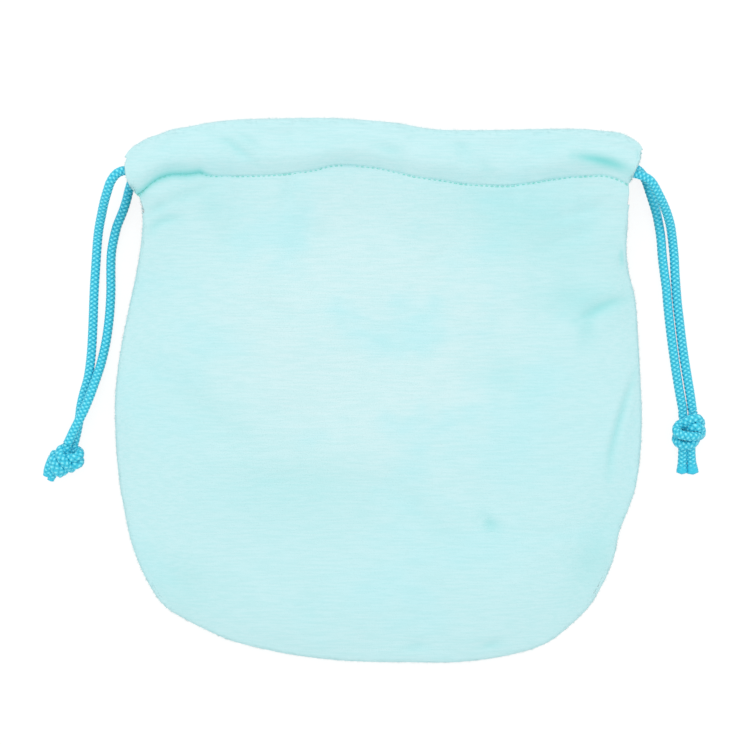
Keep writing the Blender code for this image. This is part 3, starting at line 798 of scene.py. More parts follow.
@dataclass
class Panel:
    """One cloth panel: its body, its folded channel and the seam allowance turned inside."""

    side: Side
    columns: int
    body_rows: int
    channel_rows: int
    fold_rows: int = 9
    inner_rows: int = 5
    edge_steps: int = 6
    rim_points: int = 1200
    rim_skip: int = 8
    stitch_points: int = 400
    top_points: int = 500
    end_points: int = 100
    across_crowding: Triple = (1.5, 1.5, 0.03)
    body_crowding: Triple = (1.5, 3.0, 0.02)
    channel_crowding: Triple = (2.0, 0.0, 0.12)
    allowance: float = 8.0 * MM
    slit_fold_share: float = 0.4
    slit_fold_reach: float = 4.0 * MM
    puff_height: float = 12.5 * MM
    puff_reach: float = 13.0 * MM
    channel_pull: float = 27.0 * MM
    back_lift_reach: float = 18.0 * MM
    back_stitch_reach: float = 9.0 * MM
    back_shift: float = 1.6 * MM
    shift_from: float = 0.4
    lip_height: float = 0.7 * MM
    lip_width: float = 1.1 * MM
    lip_fade: float = 6.0 * MM
    stiff_edge: float = 4.0 * MM
    swell_from: float = 5.0 * MM
    crease_from: float = 1.5 * MM
    groove_width: Pair = (0.55 * MM, 1.7 * MM)
    groove_painted_shade: Pair = (0.30, 0.95)
    gathered_x: Pair = (-58.0 * MM, -66.0 * MM)
    channel_rise: float = 6.0 * MM
    channel_camber: float = 0.9 * MM
    channel_hold: float = 0.2
    allowance_painted_shade: float = 0.8
    end_share: float = 0.25
    end_reach: float = 8.0 * MM
    setback: float = 8.6 * MM
    hem_below: float = 1.0 * MM
    flat_size: Pair = (211.0 * MM, 229.0 * MM)
    flat_area: float = 0.0439
    unevenness: Unevenness = field(default_factory=Unevenness)

    def __post_init__(self) -> None:
        """Read the outline and work out the lines that the cloth is built on."""
        level = HEIGHTS.channel(Side.FRONT)
        self.stitches = smooth(VIEW.place(OUTLINE.stitches, HEIGHTS.stitch(Side.FRONT)), self.stitch_points)
        self.end_y = float(min(self.stitches[0, 1], self.stitches[-1, 1]))
        flat = VIEW.place(OUTLINE.rim, HEIGHTS.seam)
        self.rim = smooth(VIEW.place(OUTLINE.rim, HEIGHTS.seam_at(flat[:, 1])), self.rim_points)
        share = self.fold_share(self.rim[:, 1])
        free = self.free_share(self.rim[:, 1])
        inset = (HEIGHTS.edge_fold * share + HEIGHTS.cloth / 2) * (1 - free)
        self.sewn = moved(self.rim, -inset)
        self.sewn[0], self.sewn[-1] = self.stitches[0], self.stitches[-1]
        self.top = smooth(VIEW.place(OUTLINE.top, level), self.top_points)
        self.top_share = self.end_fade(self.top)
        self.fold_line = moved(self.top, (HEIGHTS.top_fold + HEIGHTS.cloth / 2) * self.top_share)
        ends = (OUTLINE.left_end, OUTLINE.right_end)
        left, right = (smooth(VIEW.place(line, level), self.end_points) for line in ends)
        self.left_end = fitted(left, self.stitches[0], self.fold_line[0])
        self.right_end = fitted(right, self.stitches[-1], self.fold_line[-1])

    @property
    def name(self) -> str:
        """Front or back, in small letters."""
        return self.side.name.lower()

    def free_share(self, y: Array) -> Array:
        """From 0 at the slit's lower end to 1 at the channel's end."""
        return np.clip((y - HEIGHTS.slit_y) / (self.end_y - HEIGHTS.slit_y), 0.0, 1.0)

    def fold_share(self, y: Array) -> Array:
        """Size of the edge fold, which grows small towards the slit."""
        near = ease((y - HEIGHTS.slit_y + self.slit_fold_reach) / self.slit_fold_reach)
        return 1.0 - (1.0 - self.slit_fold_share) * near

    def end_fade(self, line: Array) -> Array:
        """Size of the top fold, which is flattened at the channel's two ends."""
        along = lengths_along(line)
        from_end = np.minimum(along, along[-1] - along)
        return self.end_share + (1.0 - self.end_share) * ease(from_end / self.end_reach)

    def under_stitches(self, points: Array) -> Array:
        """How far each place lies below the row of stitches."""
        return np.interp(points[:, 0], self.stitches[:, 0], self.stitches[:, 1]) - points[:, 1]

    def groove(self, points: Array, away: Array) -> Array:
        """Painted shade in the groove along the stitches: slight and narrow, but strong at the gathered
        left end.

        Args:
            points: places in the plane, one a row.
            away: distance of each place from the stitches.

        Returns:
            The share of painted shade at each place.
        """
        start, end = self.gathered_x
        gathered = ease((points[:, 0] - start) / (end - start))
        width, painted_shade = (
            low + (high - low) * gathered for low, high in (self.groove_width, self.groove_painted_shade)
        )
        return painted_shade * bell(away, width)

    def body_surface(self, points: Array) -> tuple[Array, Array]:
        """Height and painted crease shade of the body.

        From the edge the front rises with 1 - e^(-distance / reach) to its level, which is higher
        near the channel. A lip stands below the stitches, and gathers, swells and creases are
        added. The back is flat on the ground and lifts to its stitches and slits.

        Args:
            points: places in the plane, one a row.

        Returns:
            The height of the cloth's middle and the share of painted shade.
        """
        away = nearest(points, self.sewn[::self.rim_skip])[0]
        under = np.maximum(self.under_stitches(points), 0.0)
        from_seam = self.side.value * (HEIGHTS.seam - HEIGHTS.cloth / 2)
        rim = HEIGHTS.seam_at(points[:, 1]) + from_seam
        edge = rim + (HEIGHTS.stitch(self.side) - rim) * self.free_share(points[:, 1])
        painted_shade = self.groove(points, under)
        if self.side is Side.BACK:
            ground = HEIGHTS.cloth / 2
            lift = ease(1.0 - under / self.back_stitch_reach)
            level = ground + (HEIGHTS.stitch(self.side) - ground) * lift
            return level + (edge - level) * ease(1.0 - away / self.back_lift_reach), painted_shade
        inner = 1.0 - np.exp(-away / self.puff_reach)
        pull = ease(1.0 - under / self.channel_pull)
        level = self.puff_height + (HEIGHTS.stitch(self.side) - self.puff_height) * pull
        height = edge + (level - edge) * inner
        free = 1.0 - bell(away, self.stiff_edge)
        lip = self.lip_height * (1.0 - bell(under, self.lip_width)) * np.exp(-under / self.lip_fade)
        height += free * (lip + self.unevenness.gathers(points[:, 0], under))
        height += free * ease(under / self.swell_from) * self.unevenness.swells(points)
        clear = (1.0 - bell(away, self.crease_from)) * ease(under / self.crease_from)
        for fold in BODY_FOLDS:
            change, deeper = fold.shape(points, self.puff_height)
            height += change * clear
            painted_shade = np.maximum(painted_shade, deeper)
        return height, painted_shade

    def channel_surface(self, points: Array, up: Array) -> tuple[Array, Array]:
        """Height and painted crease shade of the channel's outer ply.

        From the stitches it rises with 1 - (1 - q)^2, where q is the distance over the rise, and
        has a low camber that is the square of half a wave of sine.

        Args:
            points: places in the plane, one a row.
            up: share of the way from the stitches to the top fold, one for each place.

        Returns:
            The height of the cloth's middle and the share of painted shade.
        """
        above = np.maximum(-self.under_stitches(points), up * self.channel_rise)
        rise = 1.0 - (1.0 - np.clip(above / self.channel_rise, 0.0, 1.0)) ** 2
        gap = HEIGHTS.cloth + HEIGHTS.seam_gap
        out = gap + (2 * HEIGHTS.top_fold - gap) * rise
        painted_shade = self.groove(points, above)
        if self.side is Side.BACK:
            return HEIGHTS.inner_ply(self.side) - out, painted_shade
        out += self.channel_camber * np.sin(math.pi * up) ** 2
        loose = ease(up / self.channel_hold) * ease((1.0 - up) / self.channel_hold)
        out += loose * (self.unevenness.gathers(points[:, 0], above) + self.unevenness.swells(points))
        for fold in CHANNEL_FOLDS:
            change, deeper = fold.shape(points, HEIGHTS.channel(self.side))
            out += change * loose
            painted_shade = np.maximum(painted_shade, deeper * loose)
        return HEIGHTS.inner_ply(self.side) + out, painted_shade

    def slid(self, points: Array, share: Array | float) -> Array:
        """Places on the back panel's channel, which lies a little further right than the front's."""
        if self.side is Side.FRONT:
            return points
        shift = self.back_shift * share * np.ones(points.shape[:-1])
        return points + shift[..., None] * [1.0, 0.0]

    def folded_rows(self, columns: Array) -> tuple[Array, Array]:
        """Rows of points round the top fold and down the inner ply to its hem.

        Round the fold a point moves out with the sine of its angle and in height with the cosine.
        The inner ply is shorter than the outer one, so its points draw in towards the middle.

        Args:
            columns: shares across, one for each column.

        Returns:
            The places in the plane and the heights, rows by columns.
        """
        base = read_share(self.fold_line, columns)
        along = lengths_along(self.fold_line) / lengths_along(self.fold_line)[-1]
        share = np.interp(columns, along, np.linspace(0.0, 1.0, len(along)))
        outward = unit(between_rows(moved(self.top, -1.0) - self.top, share))
        size = between_rows(self.top_share[:, None], share)
        angles = np.linspace(0.0, math.pi, self.fold_rows + 1)[1:, None, None]
        round_fold = base + outward * size * HEIGHTS.top_fold * np.sin(angles)
        turned = ease(2.0 * angles / math.pi - 1.0)
        inner_z = HEIGHTS.inner_ply(self.side)
        lift = self.side.value * HEIGHTS.top_fold * (1.0 + np.cos(angles))
        fold_z = np.broadcast_to(inner_z + lift, round_fold[..., :1].shape)[..., 0]
        hem = read_share(self.stitches, columns) - [0.0, self.hem_below]
        down = np.linspace(0.0, 1.0, self.inner_rows + 1)[1:, None, None]
        inner = base + (hem - base) * down
        places = np.concatenate([round_fold, inner])
        drawn_in = np.concatenate([turned, np.ones_like(down)])
        half = np.abs(self.stitches[[0, -1], 0]).mean()
        places = places * (1.0 - drawn_in * self.setback / half * [1.0, 0.0])
        places = self.slid(places, 1.0 - drawn_in[..., 0])
        return places, np.concatenate([fold_z, np.full(inner.shape[:2], inner_z)])

    def build(self) -> Shell:
        """The middle surface of the whole panel.

        Returns:
            The surface, with the share of painted shade at each point.
        """
        across = crowded(self.columns, *self.across_crowding)
        body_up = crowded(self.body_rows, *self.body_crowding)
        channel_up = crowded(self.channel_rows, *self.channel_crowding)
        corners = VIEW.place(OUTLINE.corners, HEIGHTS.seam)
        first, last = (int(np.argmin(np.linalg.norm(self.sewn - c, axis=1))) for c in corners)
        left, bottom, right = self.sewn[first::-1], self.sewn[first:last + 1], self.sewn[last:]
        body = patch(bottom, self.stitches, left, right, across, body_up)
        channel = patch(self.stitches, self.fold_line, self.left_end, self.right_end, across, channel_up)
        flat_body, flat_channel = body.reshape(-1, 2), channel[1:].reshape(-1, 2)
        body_z, body_tint = self.body_surface(flat_body)
        up = np.repeat(channel_up[1:], self.columns)
        channel_z, channel_tint = self.channel_surface(flat_channel, up)
        folded, folded_z = self.folded_rows(across)
        flat_channel = self.slid(flat_channel, ease(up / self.shift_from))
        places = np.vstack([flat_body, flat_channel, folded.reshape(-1, 2)])
        heights = np.concatenate([body_z, channel_z, folded_z.ravel()])
        painted_shade = np.concatenate([body_tint, channel_tint, np.zeros(folded_z.size)])
        vertices = np.column_stack([places, heights])
        rows = len(vertices) // self.columns
        cloth = Shell(vertices, net_quads(rows, self.columns), np.zeros((0, 3), int), painted_shade)
        self.turn_in(cloth, int(np.sum(body[:, 0, 1] < HEIGHTS.slit_y)))
        if self.side is Side.BACK:
            cloth.quads = cloth.quads[:, ::-1]
        return cloth

    def turn_in(self, cloth: Shell, sewn_rows: int) -> None:
        """Add the edge's half-round fold and the seam allowance that lies inside.

        Round the fold a point moves out with the sine of its angle and inwards in height with 1
        less the cosine, and then runs back by the width of the allowance.

        Args:
            cloth: the panel so far, which is changed.
            sewn_rows: how many rows of the body are sewn, from the bottom up.
        """
        left = np.arange(sewn_rows - 1, 0, -1) * self.columns
        right = np.arange(1, sewn_rows) * self.columns + self.columns - 1
        border = np.concatenate([left, np.arange(self.columns), right])
        base = cloth.vertices[border]
        along = unit(np.gradient(base[:, :2], axis=0))
        outward = np.column_stack([along[:, 1], -along[:, 0], np.zeros(len(base))])
        share = self.fold_share(base[:, 1])[:, None]
        angles = np.linspace(0.0, math.pi, self.edge_steps + 1)[1:, None, None]
        out = HEIGHTS.edge_fold * np.sin(angles) * share
        into = HEIGHTS.edge_fold * (1.0 - np.cos(angles)) * np.ones_like(share)
        back = -self.allowance * np.array([0.5, 1.0])[:, None, None] * np.ones_like(share)
        out = np.concatenate([out, back])
        into = np.concatenate([into, np.broadcast_to(into[-1:], back.shape)])
        strip = base + outward * out - UP * self.side.value * into
        steps, count = strip.shape[:2]
        first = len(cloth.vertices)
        numbers = np.vstack([border, first + np.arange(steps * count).reshape(steps, count)])
        near, far = numbers[:-1], numbers[1:]
        quads = np.stack([near[:, :-1], far[:, :-1], far[:, 1:], near[:, 1:]], axis=-1).reshape(-1, 4)
        cloth.vertices = np.vstack([cloth.vertices, strip.reshape(-1, 3)])
        cloth.quads = np.vstack([cloth.quads, quads])
        # Painted shade that deepens as the cloth turns round the edge fold into the allowance.
        inwards = np.linspace(0.0, self.allowance_painted_shade, steps)
        cloth.values = np.concatenate([cloth.values, np.repeat(inwards, count)])

    def dress(self, plush: Material, rests_on: tuple) -> Object:
        """Make the panel's cloth and give it its thickness and finish.

        Args:
            plush: the plush material.
            rests_on: the pieces that it lies on, none for the ground; not used.

        Returns:
            The cloth.
        """
        cloth = self.build().make(f"{self.name}_panel_cloth", "crease", plush)
        thick = cloth.modifiers.new("cloth", "SOLIDIFY")
        thick.thickness = HEIGHTS.cloth
        thick.offset = 0.0
        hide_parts(f"{self.name}_panel")
        return cloth


@dataclass(frozen=True)
class Braid:
    """Round braid of two sets of yarns that cross over and under each other."""

    radius: float = 1.70 * MM
    cells: int = 4
    pitch: float = 1.6 * MM
    depth: float = 0.26 * MM
    around: int = 36
    cap: float = 0.35
    start_turn: float = 0.25
    yarn_power: float = 0.7
    crown_foot: float = 0.45
    crown_power: float = 0.5
    flat_relief: float = 0.6
    level_relief: float = 0.7

    def relief(self, angle: Array, along: Array) -> Array:
        """Height of the yarns, from 0 in the pits to 1 on the crests.

        Two slanting counts run round the cord, a and b = cells times angle over a turn, plus and
        less the length over the pitch. In each of their cells one yarn lies on top, by turns: its
        height is a power of the sine across it, times a crown along it.

        Args:
            angle: angle round the cord, in radians.
            along: length along the cord.

        Returns:
            The relief at each place.
        """
        turn = self.cells * angle / (2 * math.pi) + self.start_turn
        a, b = turn + along / self.pitch, turn - along / self.pitch
        over = (np.floor(a) + np.floor(b)) % 2 < 1
        fine_a, fine_b = np.sin(math.pi * (a % 1.0)), np.sin(math.pi * (b % 1.0))
        across, length = np.where(over, fine_a, fine_b), np.where(over, fine_b, fine_a)
        rise = (1.0 - self.crown_foot) * np.clip(length, 0.0, 1.0) ** self.crown_power
        return np.clip(across, 0.0, 1.0) ** self.yarn_power * (self.crown_foot + rise)

    def tube(self, path: Array, reference: Array, radius: Array, show: Array, turn: float = 0.0) -> Shell:
        """A closed tube along a path, with the braid's relief on it.

        Each ring is the path's point plus its radius times a unit vector that goes round in the
        plane square to the path. Both ends are closed by a low cone.

        Args:
            path: centres of the rings, one a row.
            reference: a direction for each ring that isn't along the path, from which angles count.
            radius: radius of each ring.
            show: from 0 to 1, how much of the relief each ring shows.
            turn: angle by which the braid is turned about the path.

        Returns:
            The tube, with the relief at each point.
        """
        along = unit(np.gradient(path, axis=0))
        normal = unit(reference - np.sum(reference * along, axis=1, keepdims=True) * along)
        binormal = np.cross(along, normal)
        angles = np.arange(self.around)[None] * 2 * math.pi / self.around
        relief = self.relief(angles + turn, lengths_along(path)[:, None])
        relief = self.flat_relief + (relief - self.flat_relief) * show[:, None]
        reach = radius[:, None] + self.depth * (relief - self.level_relief)
        spokes = normal[:, None] * np.cos(angles)[..., None] + binormal[:, None] * np.sin(angles)[..., None]
        rings = path[:, None] + spokes * reach[..., None]
        start = path[0] - along[0] * radius[0] * self.cap
        end = path[-1] + along[-1] * radius[-1] * self.cap
        return closed_rings(rings, np.stack([start, end]), relief)


@dataclass(frozen=True)
class Lanes:
    """Where the cords lie in the channels, and how they fall from the channels to the ground."""

    half_width: float = 97.3 * MM
    top_y: float = 98.5 * MM
    below_top: float = 8.6 * MM
    end_drop: float = 5.8 * MM
    drop_from_x: float = 74.0 * MM
    drop_to_x: float = 88.0 * MM
    spacing: float = 4.2 * MM
    stagger: float = 0.9 * MM
    turn_from_x: float = 84.4 * MM
    lift: float = 0.1 * MM
    fall: Pair = (16.5 * MM, 45.5 * MM)
    crossing: Pair = (86.5 * MM, 104.5 * MM)
    run_points: int = 12
    turn_points: int = 5

    def y(self, x: Array, side: Side, lane: int) -> Array:
        """Place of a cord across its channel, which drops towards the channel's ends."""
        drop = self.end_drop * ease((np.abs(x) - self.drop_from_x) / (self.drop_to_x - self.drop_from_x))
        stagger = side.value * self.stagger * np.clip(x / self.drop_to_x, -1.0, 1.0)
        return self.top_y - self.below_top - drop - lane * self.spacing + stagger

    def run(self, x: Array, side: Side, lane: int) -> Array:
        """Points of a cord in a channel, at places along it."""
        return np.column_stack([x, self.y(x, side, lane), np.full(len(x), HEIGHTS.channel(side))])

    def turn(self, end: int, lane: int) -> Array:
        """Half round from a lane of the front channel to the other lane of the back one."""
        x = np.array([end * self.turn_from_x])
        start, finish = self.run(x, Side.FRONT, lane)[0], self.run(x, Side.BACK, 1 - lane)[0]
        centre, spoke = (start + finish) / 2, (start - finish) / 2
        forwards = np.array([end * np.linalg.norm(spoke), 0.0, 0.0])
        angles = np.linspace(0.0, math.pi, self.turn_points + 2)[1:-1, None]
        return centre + spoke * np.cos(angles) + forwards * np.sin(angles)

    def strand(self, out_down: tuple, end: End, side: Side, crosses: bool) -> Array:
        """Points of a strand from its channel to its knot.

        It falls to the ground by a smooth step of its depth below the top edge, and lifts by one
        cord where it crosses its neighbour.

        Args:
            out_down: millimetres out from the widest part and down from the top, one pair a point.
            end: the side that the strand is on.
            side: the channel that it comes from.
            crosses: whether it lies over its neighbour at the knot.

        Returns:
            The points, from the channel to the knot.
        """
        out, down = np.array(out_down).T * MM
        lying = HEIGHTS.cord / 2 + self.lift
        high = HEIGHTS.channel(side)
        z = high + (lying - high) * ease((down - self.fall[0]) / (self.fall[1] - self.fall[0]))
        over = (HEIGHTS.cord + HEIGHTS.clearance) * crosses
        z += over * ease((down - self.crossing[0]) / (self.crossing[1] - self.crossing[0]))
        points = np.column_stack([end.value * (self.half_width + out), self.top_y - down, z])
        return VIEW.seen_through(points)


LANES = Lanes()


@dataclass(frozen=True)
class CordRoute:
    """One cord's way: its side, its lane in the front channel, and its two strands outside."""

    end: End
    front_lane: int
    front_strand: tuple
    length: float
    back_strand: tuple
    back_crosses: bool
    braid: Braid = field(default_factory=Braid)
    fine_step: float = 0.2 * MM
    coarse_step: float = 2.0 * MM
    hidden_x: float = 78.0 * MM
    twist_length: float = 20.0 * MM
    path_points: int = 6000
    stated_points: int = 300

    @property
    def name(self) -> str:
        """Left or right, in small letters."""
        return self.end.name.lower()

    def path(self) -> Array:
        """The cord's centreline: up from its knot, through the front channel, round and back."""
        way = self.end.value
        x = np.linspace(way * LANES.drop_to_x, -way * LANES.turn_from_x, LANES.run_points)
        up = LANES.strand(self.front_strand, self.end, Side.FRONT, False)[::-1]
        down = LANES.strand(self.back_strand, self.end, Side.BACK, self.back_crosses)
        front = LANES.run(x, Side.FRONT, self.front_lane)
        back = LANES.run(x[::-1], Side.BACK, 1 - self.front_lane)
        points = np.vstack([up, front, LANES.turn(-way, self.front_lane), back, down])
        line = smooth(points, self.path_points)
        line[:, 2] = np.maximum(line[:, 2], HEIGHTS.cord / 2)
        return line

    def build(self) -> tuple[Shell, Array]:
        """The cord's tube, fine where it shows and coarse inside the channels.

        Returns:
            The tube and the path that it follows.
        """
        line = self.path()
        along = lengths_along(line)
        step = np.where(np.abs(line[:, 0]) > self.hidden_x, self.fine_step, self.coarse_step)
        rings = np.concatenate([[0.0], np.cumsum(np.diff(along) / step[1:])])
        wanted = np.interp(np.linspace(0.0, rings[-1], int(rings[-1])), rings, along)
        path = read_at(line, wanted)
        own = along[self.end.value * line[:, 0] < self.hidden_x]
        into, out = (wanted - own[0]) / self.twist_length, (own[-1] - wanted) / self.twist_length
        reference = UP + (ease(into) * ease(out))[:, None] * (TO_MOUTH - UP)
        show = np.where(np.abs(path[:, 0]) > self.hidden_x, 1.0, 0.0)
        radius = np.full(len(path), self.braid.radius)
        tube = self.braid.tube(path, reference, radius, show)
        return tube, read_at(line, np.linspace(0.0, along[-1], self.stated_points))

    def dress(self, braid: Material, knot: Object) -> Object:
        """Make the cord.

        Args:
            braid: the cord material.
            knot: the knot that ties its two ends; not used.

        Returns:
            The cord.
        """
        tube, path = self.build()
        cord = tube.make(f"{self.name}_cord_braid", "relief", braid)
        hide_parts(f"{self.name}_cord")
        return cord


LEFT_ROUTE = CordRoute(
    end=End.LEFT, front_lane=0, back_crosses=True, length=0.60,
    front_strand=(
        (-6.3, 17.2), (-2.3, 17.7), (0.2, 19.1), (2.1, 21.9), (3.3, 25.4), (4.4, 29.3), (5.3, 33.6),
        (6.2, 38.3), (6.8, 43.0), (7.4, 51.4), (8.1, 62.5), (8.5, 73.6), (9.1, 84.7), (10.2, 93.6),
        (12.0, 100.2), (13.0, 104.7), (13.5, 108.7), (14.1, 112.4), (15.0, 116.5), (15.6, 118.7),
    ),
    back_strand=(
        (-8.4, 18.9), (-6.1, 21.2), (-4.9, 24.5), (-3.9, 28.5), (-2.8, 32.0), (-1.4, 35.5),
        (-0.1, 39.0), (1.5, 46.5), (1.9, 52.5), (1.9, 61.8), (2.2, 68.4), (2.8, 74.7), (3.8, 81.4),
        (5.4, 88.4), (6.9, 93.2), (8.2, 96.9), (9.8, 101.3), (11.7, 105.8), (13.7, 109.9),
        (15.6, 113.7), (17.0, 116.7), (18.0, 118.7),
    ),
)

RIGHT_ROUTE = CordRoute(
    end=End.RIGHT, front_lane=1, back_crosses=False, length=0.58,
    front_strand=(
        (-7.3, 18.3), (-2.3, 18.7), (0.9, 19.9), (3.6, 21.9), (6.3, 26.7), (8.8, 32.2), (10.4, 37.4),
        (11.2, 42.6), (11.9, 49.2), (12.2, 55.1), (12.6, 61.0), (13.1, 66.9), (13.9, 73.6),
        (14.7, 80.3), (15.6, 86.9), (16.7, 93.6), (17.8, 100.2), (18.7, 106.5),
    ),
    back_strand=(
        (-7.3, 16.6), (-2.8, 16.8), (-0.4, 18.4), (1.4, 21.2), (2.7, 24.9), (4.1, 29.2), (5.4, 33.5),
        (6.2, 37.4), (7.0, 42.6), (7.5, 49.2), (8.2, 55.1), (9.0, 61.0), (9.5, 66.9), (10.2, 73.6),
        (11.0, 80.3), (11.9, 86.9), (12.9, 93.6), (14.0, 100.2), (15.2, 106.5),
    ),
)


class Lie(Enum):
    """How a stretch of cord lies in a knot, with the direction from which its angles count."""

    WRAP = (0.0, 1.0, 0.0)
    STRAIGHT = (0.0, 0.0, 1.0)


@dataclass(frozen=True)
class Stretch:
    """A stretch of cord in a knot: pixel column, pixel row and height in millimetres of each point."""

    points: tuple
    lie: Lie = Lie.STRAIGHT
    tip_share: float = 1.0
    tip_mm: float = 1.0


@dataclass(frozen=True)
class Knot:
    """An overhand knot tied in both ends of a cord, with two tails."""

    end: End
    stretches: tuple[Stretch, ...]
    braid: Braid = field(default_factory=Braid)
    step: float = 0.22 * MM
    rough_points: int = 200
    frayed_share: float = 0.6

    def tube(self, stretch: Stretch) -> Shell:
        """One stretch of the knot, whose radius eases to that of its tip."""
        points = np.array(stretch.points, float)
        heights = points[:, 2] * MM
        places = np.column_stack([VIEW.place(points[:, :2], heights), heights])
        path = smooth(places, int(lengths_along(smooth(places, self.rough_points))[-1] / self.step))
        from_tip = lengths_along(path)[-1] - lengths_along(path)
        tip = 1.0 - ease(from_tip / (stretch.tip_mm * MM))
        radius = self.braid.radius * (1.0 + (stretch.tip_share - 1.0) * tip)
        show = 1.0 - self.frayed_share * tip * (stretch.tip_share != 1.0)
        turn = math.pi / 2 if stretch.lie is Lie.WRAP else 0.0
        return self.braid.tube(path, np.tile(stretch.lie.value, (len(path), 1)), radius, show, turn)

    def dress(self, braid: Material) -> Object:
        """Make the knot with its finish."""
        name = self.end.name.lower()
        whole = as_one([self.tube(stretch) for stretch in self.stretches])
        knot = whole.make(f"{name}_knot_braid", "relief", braid)
        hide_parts(f"{name}_knot")
        return knot


RIGHT_KNOT = Knot(
    end=End.RIGHT,
    stretches=(
        Stretch((
            (682.6, 411.4, 1.8), (683.4, 418, 2.0), (685.5, 426, 2.4), (686, 436, 3.0), (684, 446, 2.4),
        )),
        Stretch((
            (693.0, 411.4, 1.8), (692.6, 418, 2.0), (693.5, 428, 3.2), (692, 438, 3.4), (690.5, 446, 2.4),
        )),
        Stretch(
            (
                (682, 428.5, 2), (684.5, 423.5, 4.8), (689.6, 419.8, 6.2), (696, 418.2, 6.4),
                (699.4, 420.4, 5), (700.6, 424, 3), (699, 428, 1.8),
            ),
            Lie.WRAP,
        ),
        Stretch(
            (
                (688, 430, 3.5), (693.6, 427, 6), (698.6, 427.2, 6.2), (701.2, 430.4, 4.6),
                (700.6, 434.6, 3.2), (697, 436.5, 2),
            ),
            Lie.WRAP,
        ),
        Stretch((
            (686, 423, 2.5), (679.5, 424.5, 4), (676.6, 430, 5.4), (680, 434.3, 6.8),
            (687, 436, 7.4), (694, 436.4, 6.8), (699, 434.8, 4.6), (700, 432, 2.5),
        )),
        Stretch((
            (677, 435.5, 2.4), (676.6, 440.3, 3.6), (680.5, 444.2, 4.8), (687, 445, 5.2),
            (693, 443.4, 4.6), (695.5, 439.5, 2.6),
        )),
        Stretch(((683.0, 444, 3), (682.5, 458, 2.2), (681.8, 472.6, 1.9)), tip_share=1.22, tip_mm=4.0),
        Stretch(((690.8, 444, 3), (691.2, 458, 2.2), (692.8, 472.8, 1.9)), tip_share=1.30, tip_mm=5.0),
    ),
)

LEFT_KNOT = Knot(
    end=End.LEFT,
    stretches=(
        Stretch(((73.9, 444.6, 1.8), (72.6, 450, 2.2), (70, 456, 2.5), (64, 464, 2.4))),
        Stretch(((67.3, 444.6, 5.1), (66.2, 449, 4.6), (66, 456, 3.0), (60, 462, 2.2))),
        Stretch((
            (64.4, 448, 2.5), (60.6, 450.2, 5), (59.8, 454.2, 6.3), (62, 459, 7.2), (65.5, 463.2, 6.8),
            (69, 466.6, 5), (71.8, 468.4, 2.8),
        )),
        Stretch(
            (
                (66, 457.5, 4.5), (71, 458, 6), (76, 457, 6.2), (79.4, 454.8, 5), (79.2, 451.8, 3),
                (76, 450, 2),
            ),
            Lie.WRAP,
        ),
        Stretch(((70, 464.6, 4), (75, 465, 5), (79, 463, 4.4), (79.8, 459.5, 2.5)), Lie.WRAP),
        Stretch((
            (55, 453.5, 2.5), (53.6, 458.5, 4.6), (56.6, 464.5, 5.6), (61, 468.8, 5), (65.4, 471.2, 3.2),
        )),
        Stretch(((51.8, 460, 3.0), (54.2, 467, 4.6), (57.8, 471.2, 4.4), (61.6, 473.6, 3.0))),
        Stretch(((53, 457, 3.2), (49.4, 466, 3.4), (47, 475.5, 2.2)), tip_share=0.9, tip_mm=2.0),
        Stretch(((57, 462, 3), (53.6, 471, 2.6), (50.6, 480.2, 1.8)), tip_share=0.75, tip_mm=2.5),
    ),
)


@dataclass(frozen=True)
class Stitching:
    """A row of machine stitches, each a short bowed length of thread whose ends dive into the cloth."""

    name: str
    pitch: float = 1.9 * MM
    length: float = 1.9 * MM
    radius: float = 0.26 * MM
    bow: float = 0.35 * MM
    around: int = 6
    stations: int = 5
    last_ring: float = 0.9

    def stitch(self) -> Shell:
        """One stitch: rings of radius times the root of 1 less t squared, bowed down with t squared."""
        t = np.linspace(-self.last_ring, self.last_ring, self.stations)[:, None]
        angles = np.arange(self.around)[None] * 2 * math.pi / self.around
        size = self.radius * np.sqrt(1.0 - t**2)
        x = np.broadcast_to(t * self.length / 2, (self.stations, self.around))
        rings = np.stack([x, size * np.cos(angles), size * np.sin(angles) - self.bow * t**2], axis=-1)
        poles = np.array([[-self.length / 2, 0.0, -self.bow], [self.length / 2, 0.0, -self.bow]])
        return closed_rings(rings, poles, np.zeros(rings.shape[:2]))

    def dress(self, line: Array, up: Array, thread: Material) -> Object:
        """Set the stitches along a line.

        Args:
            line: the points that the row follows.
            up: the direction out of the cloth at each point of the line.
            thread: the thread material.

        Returns:
            The row of stitches.
        """
        count = int(lengths_along(line)[-1] / self.pitch)
        share = (np.arange(count) + 0.5) / count
        along = unit(between_rows(np.gradient(line, axis=0), share))
        out = between_rows(np.broadcast_to(up, line.shape), share)
        out = unit(out - np.sum(out * along, axis=1, keepdims=True) * along)
        axes = np.stack([along, np.cross(out, along), out], axis=1)
        row = repeated(self.stitch(), read_share(line, share), axes)
        return row.make(self.name, "twist", thread)


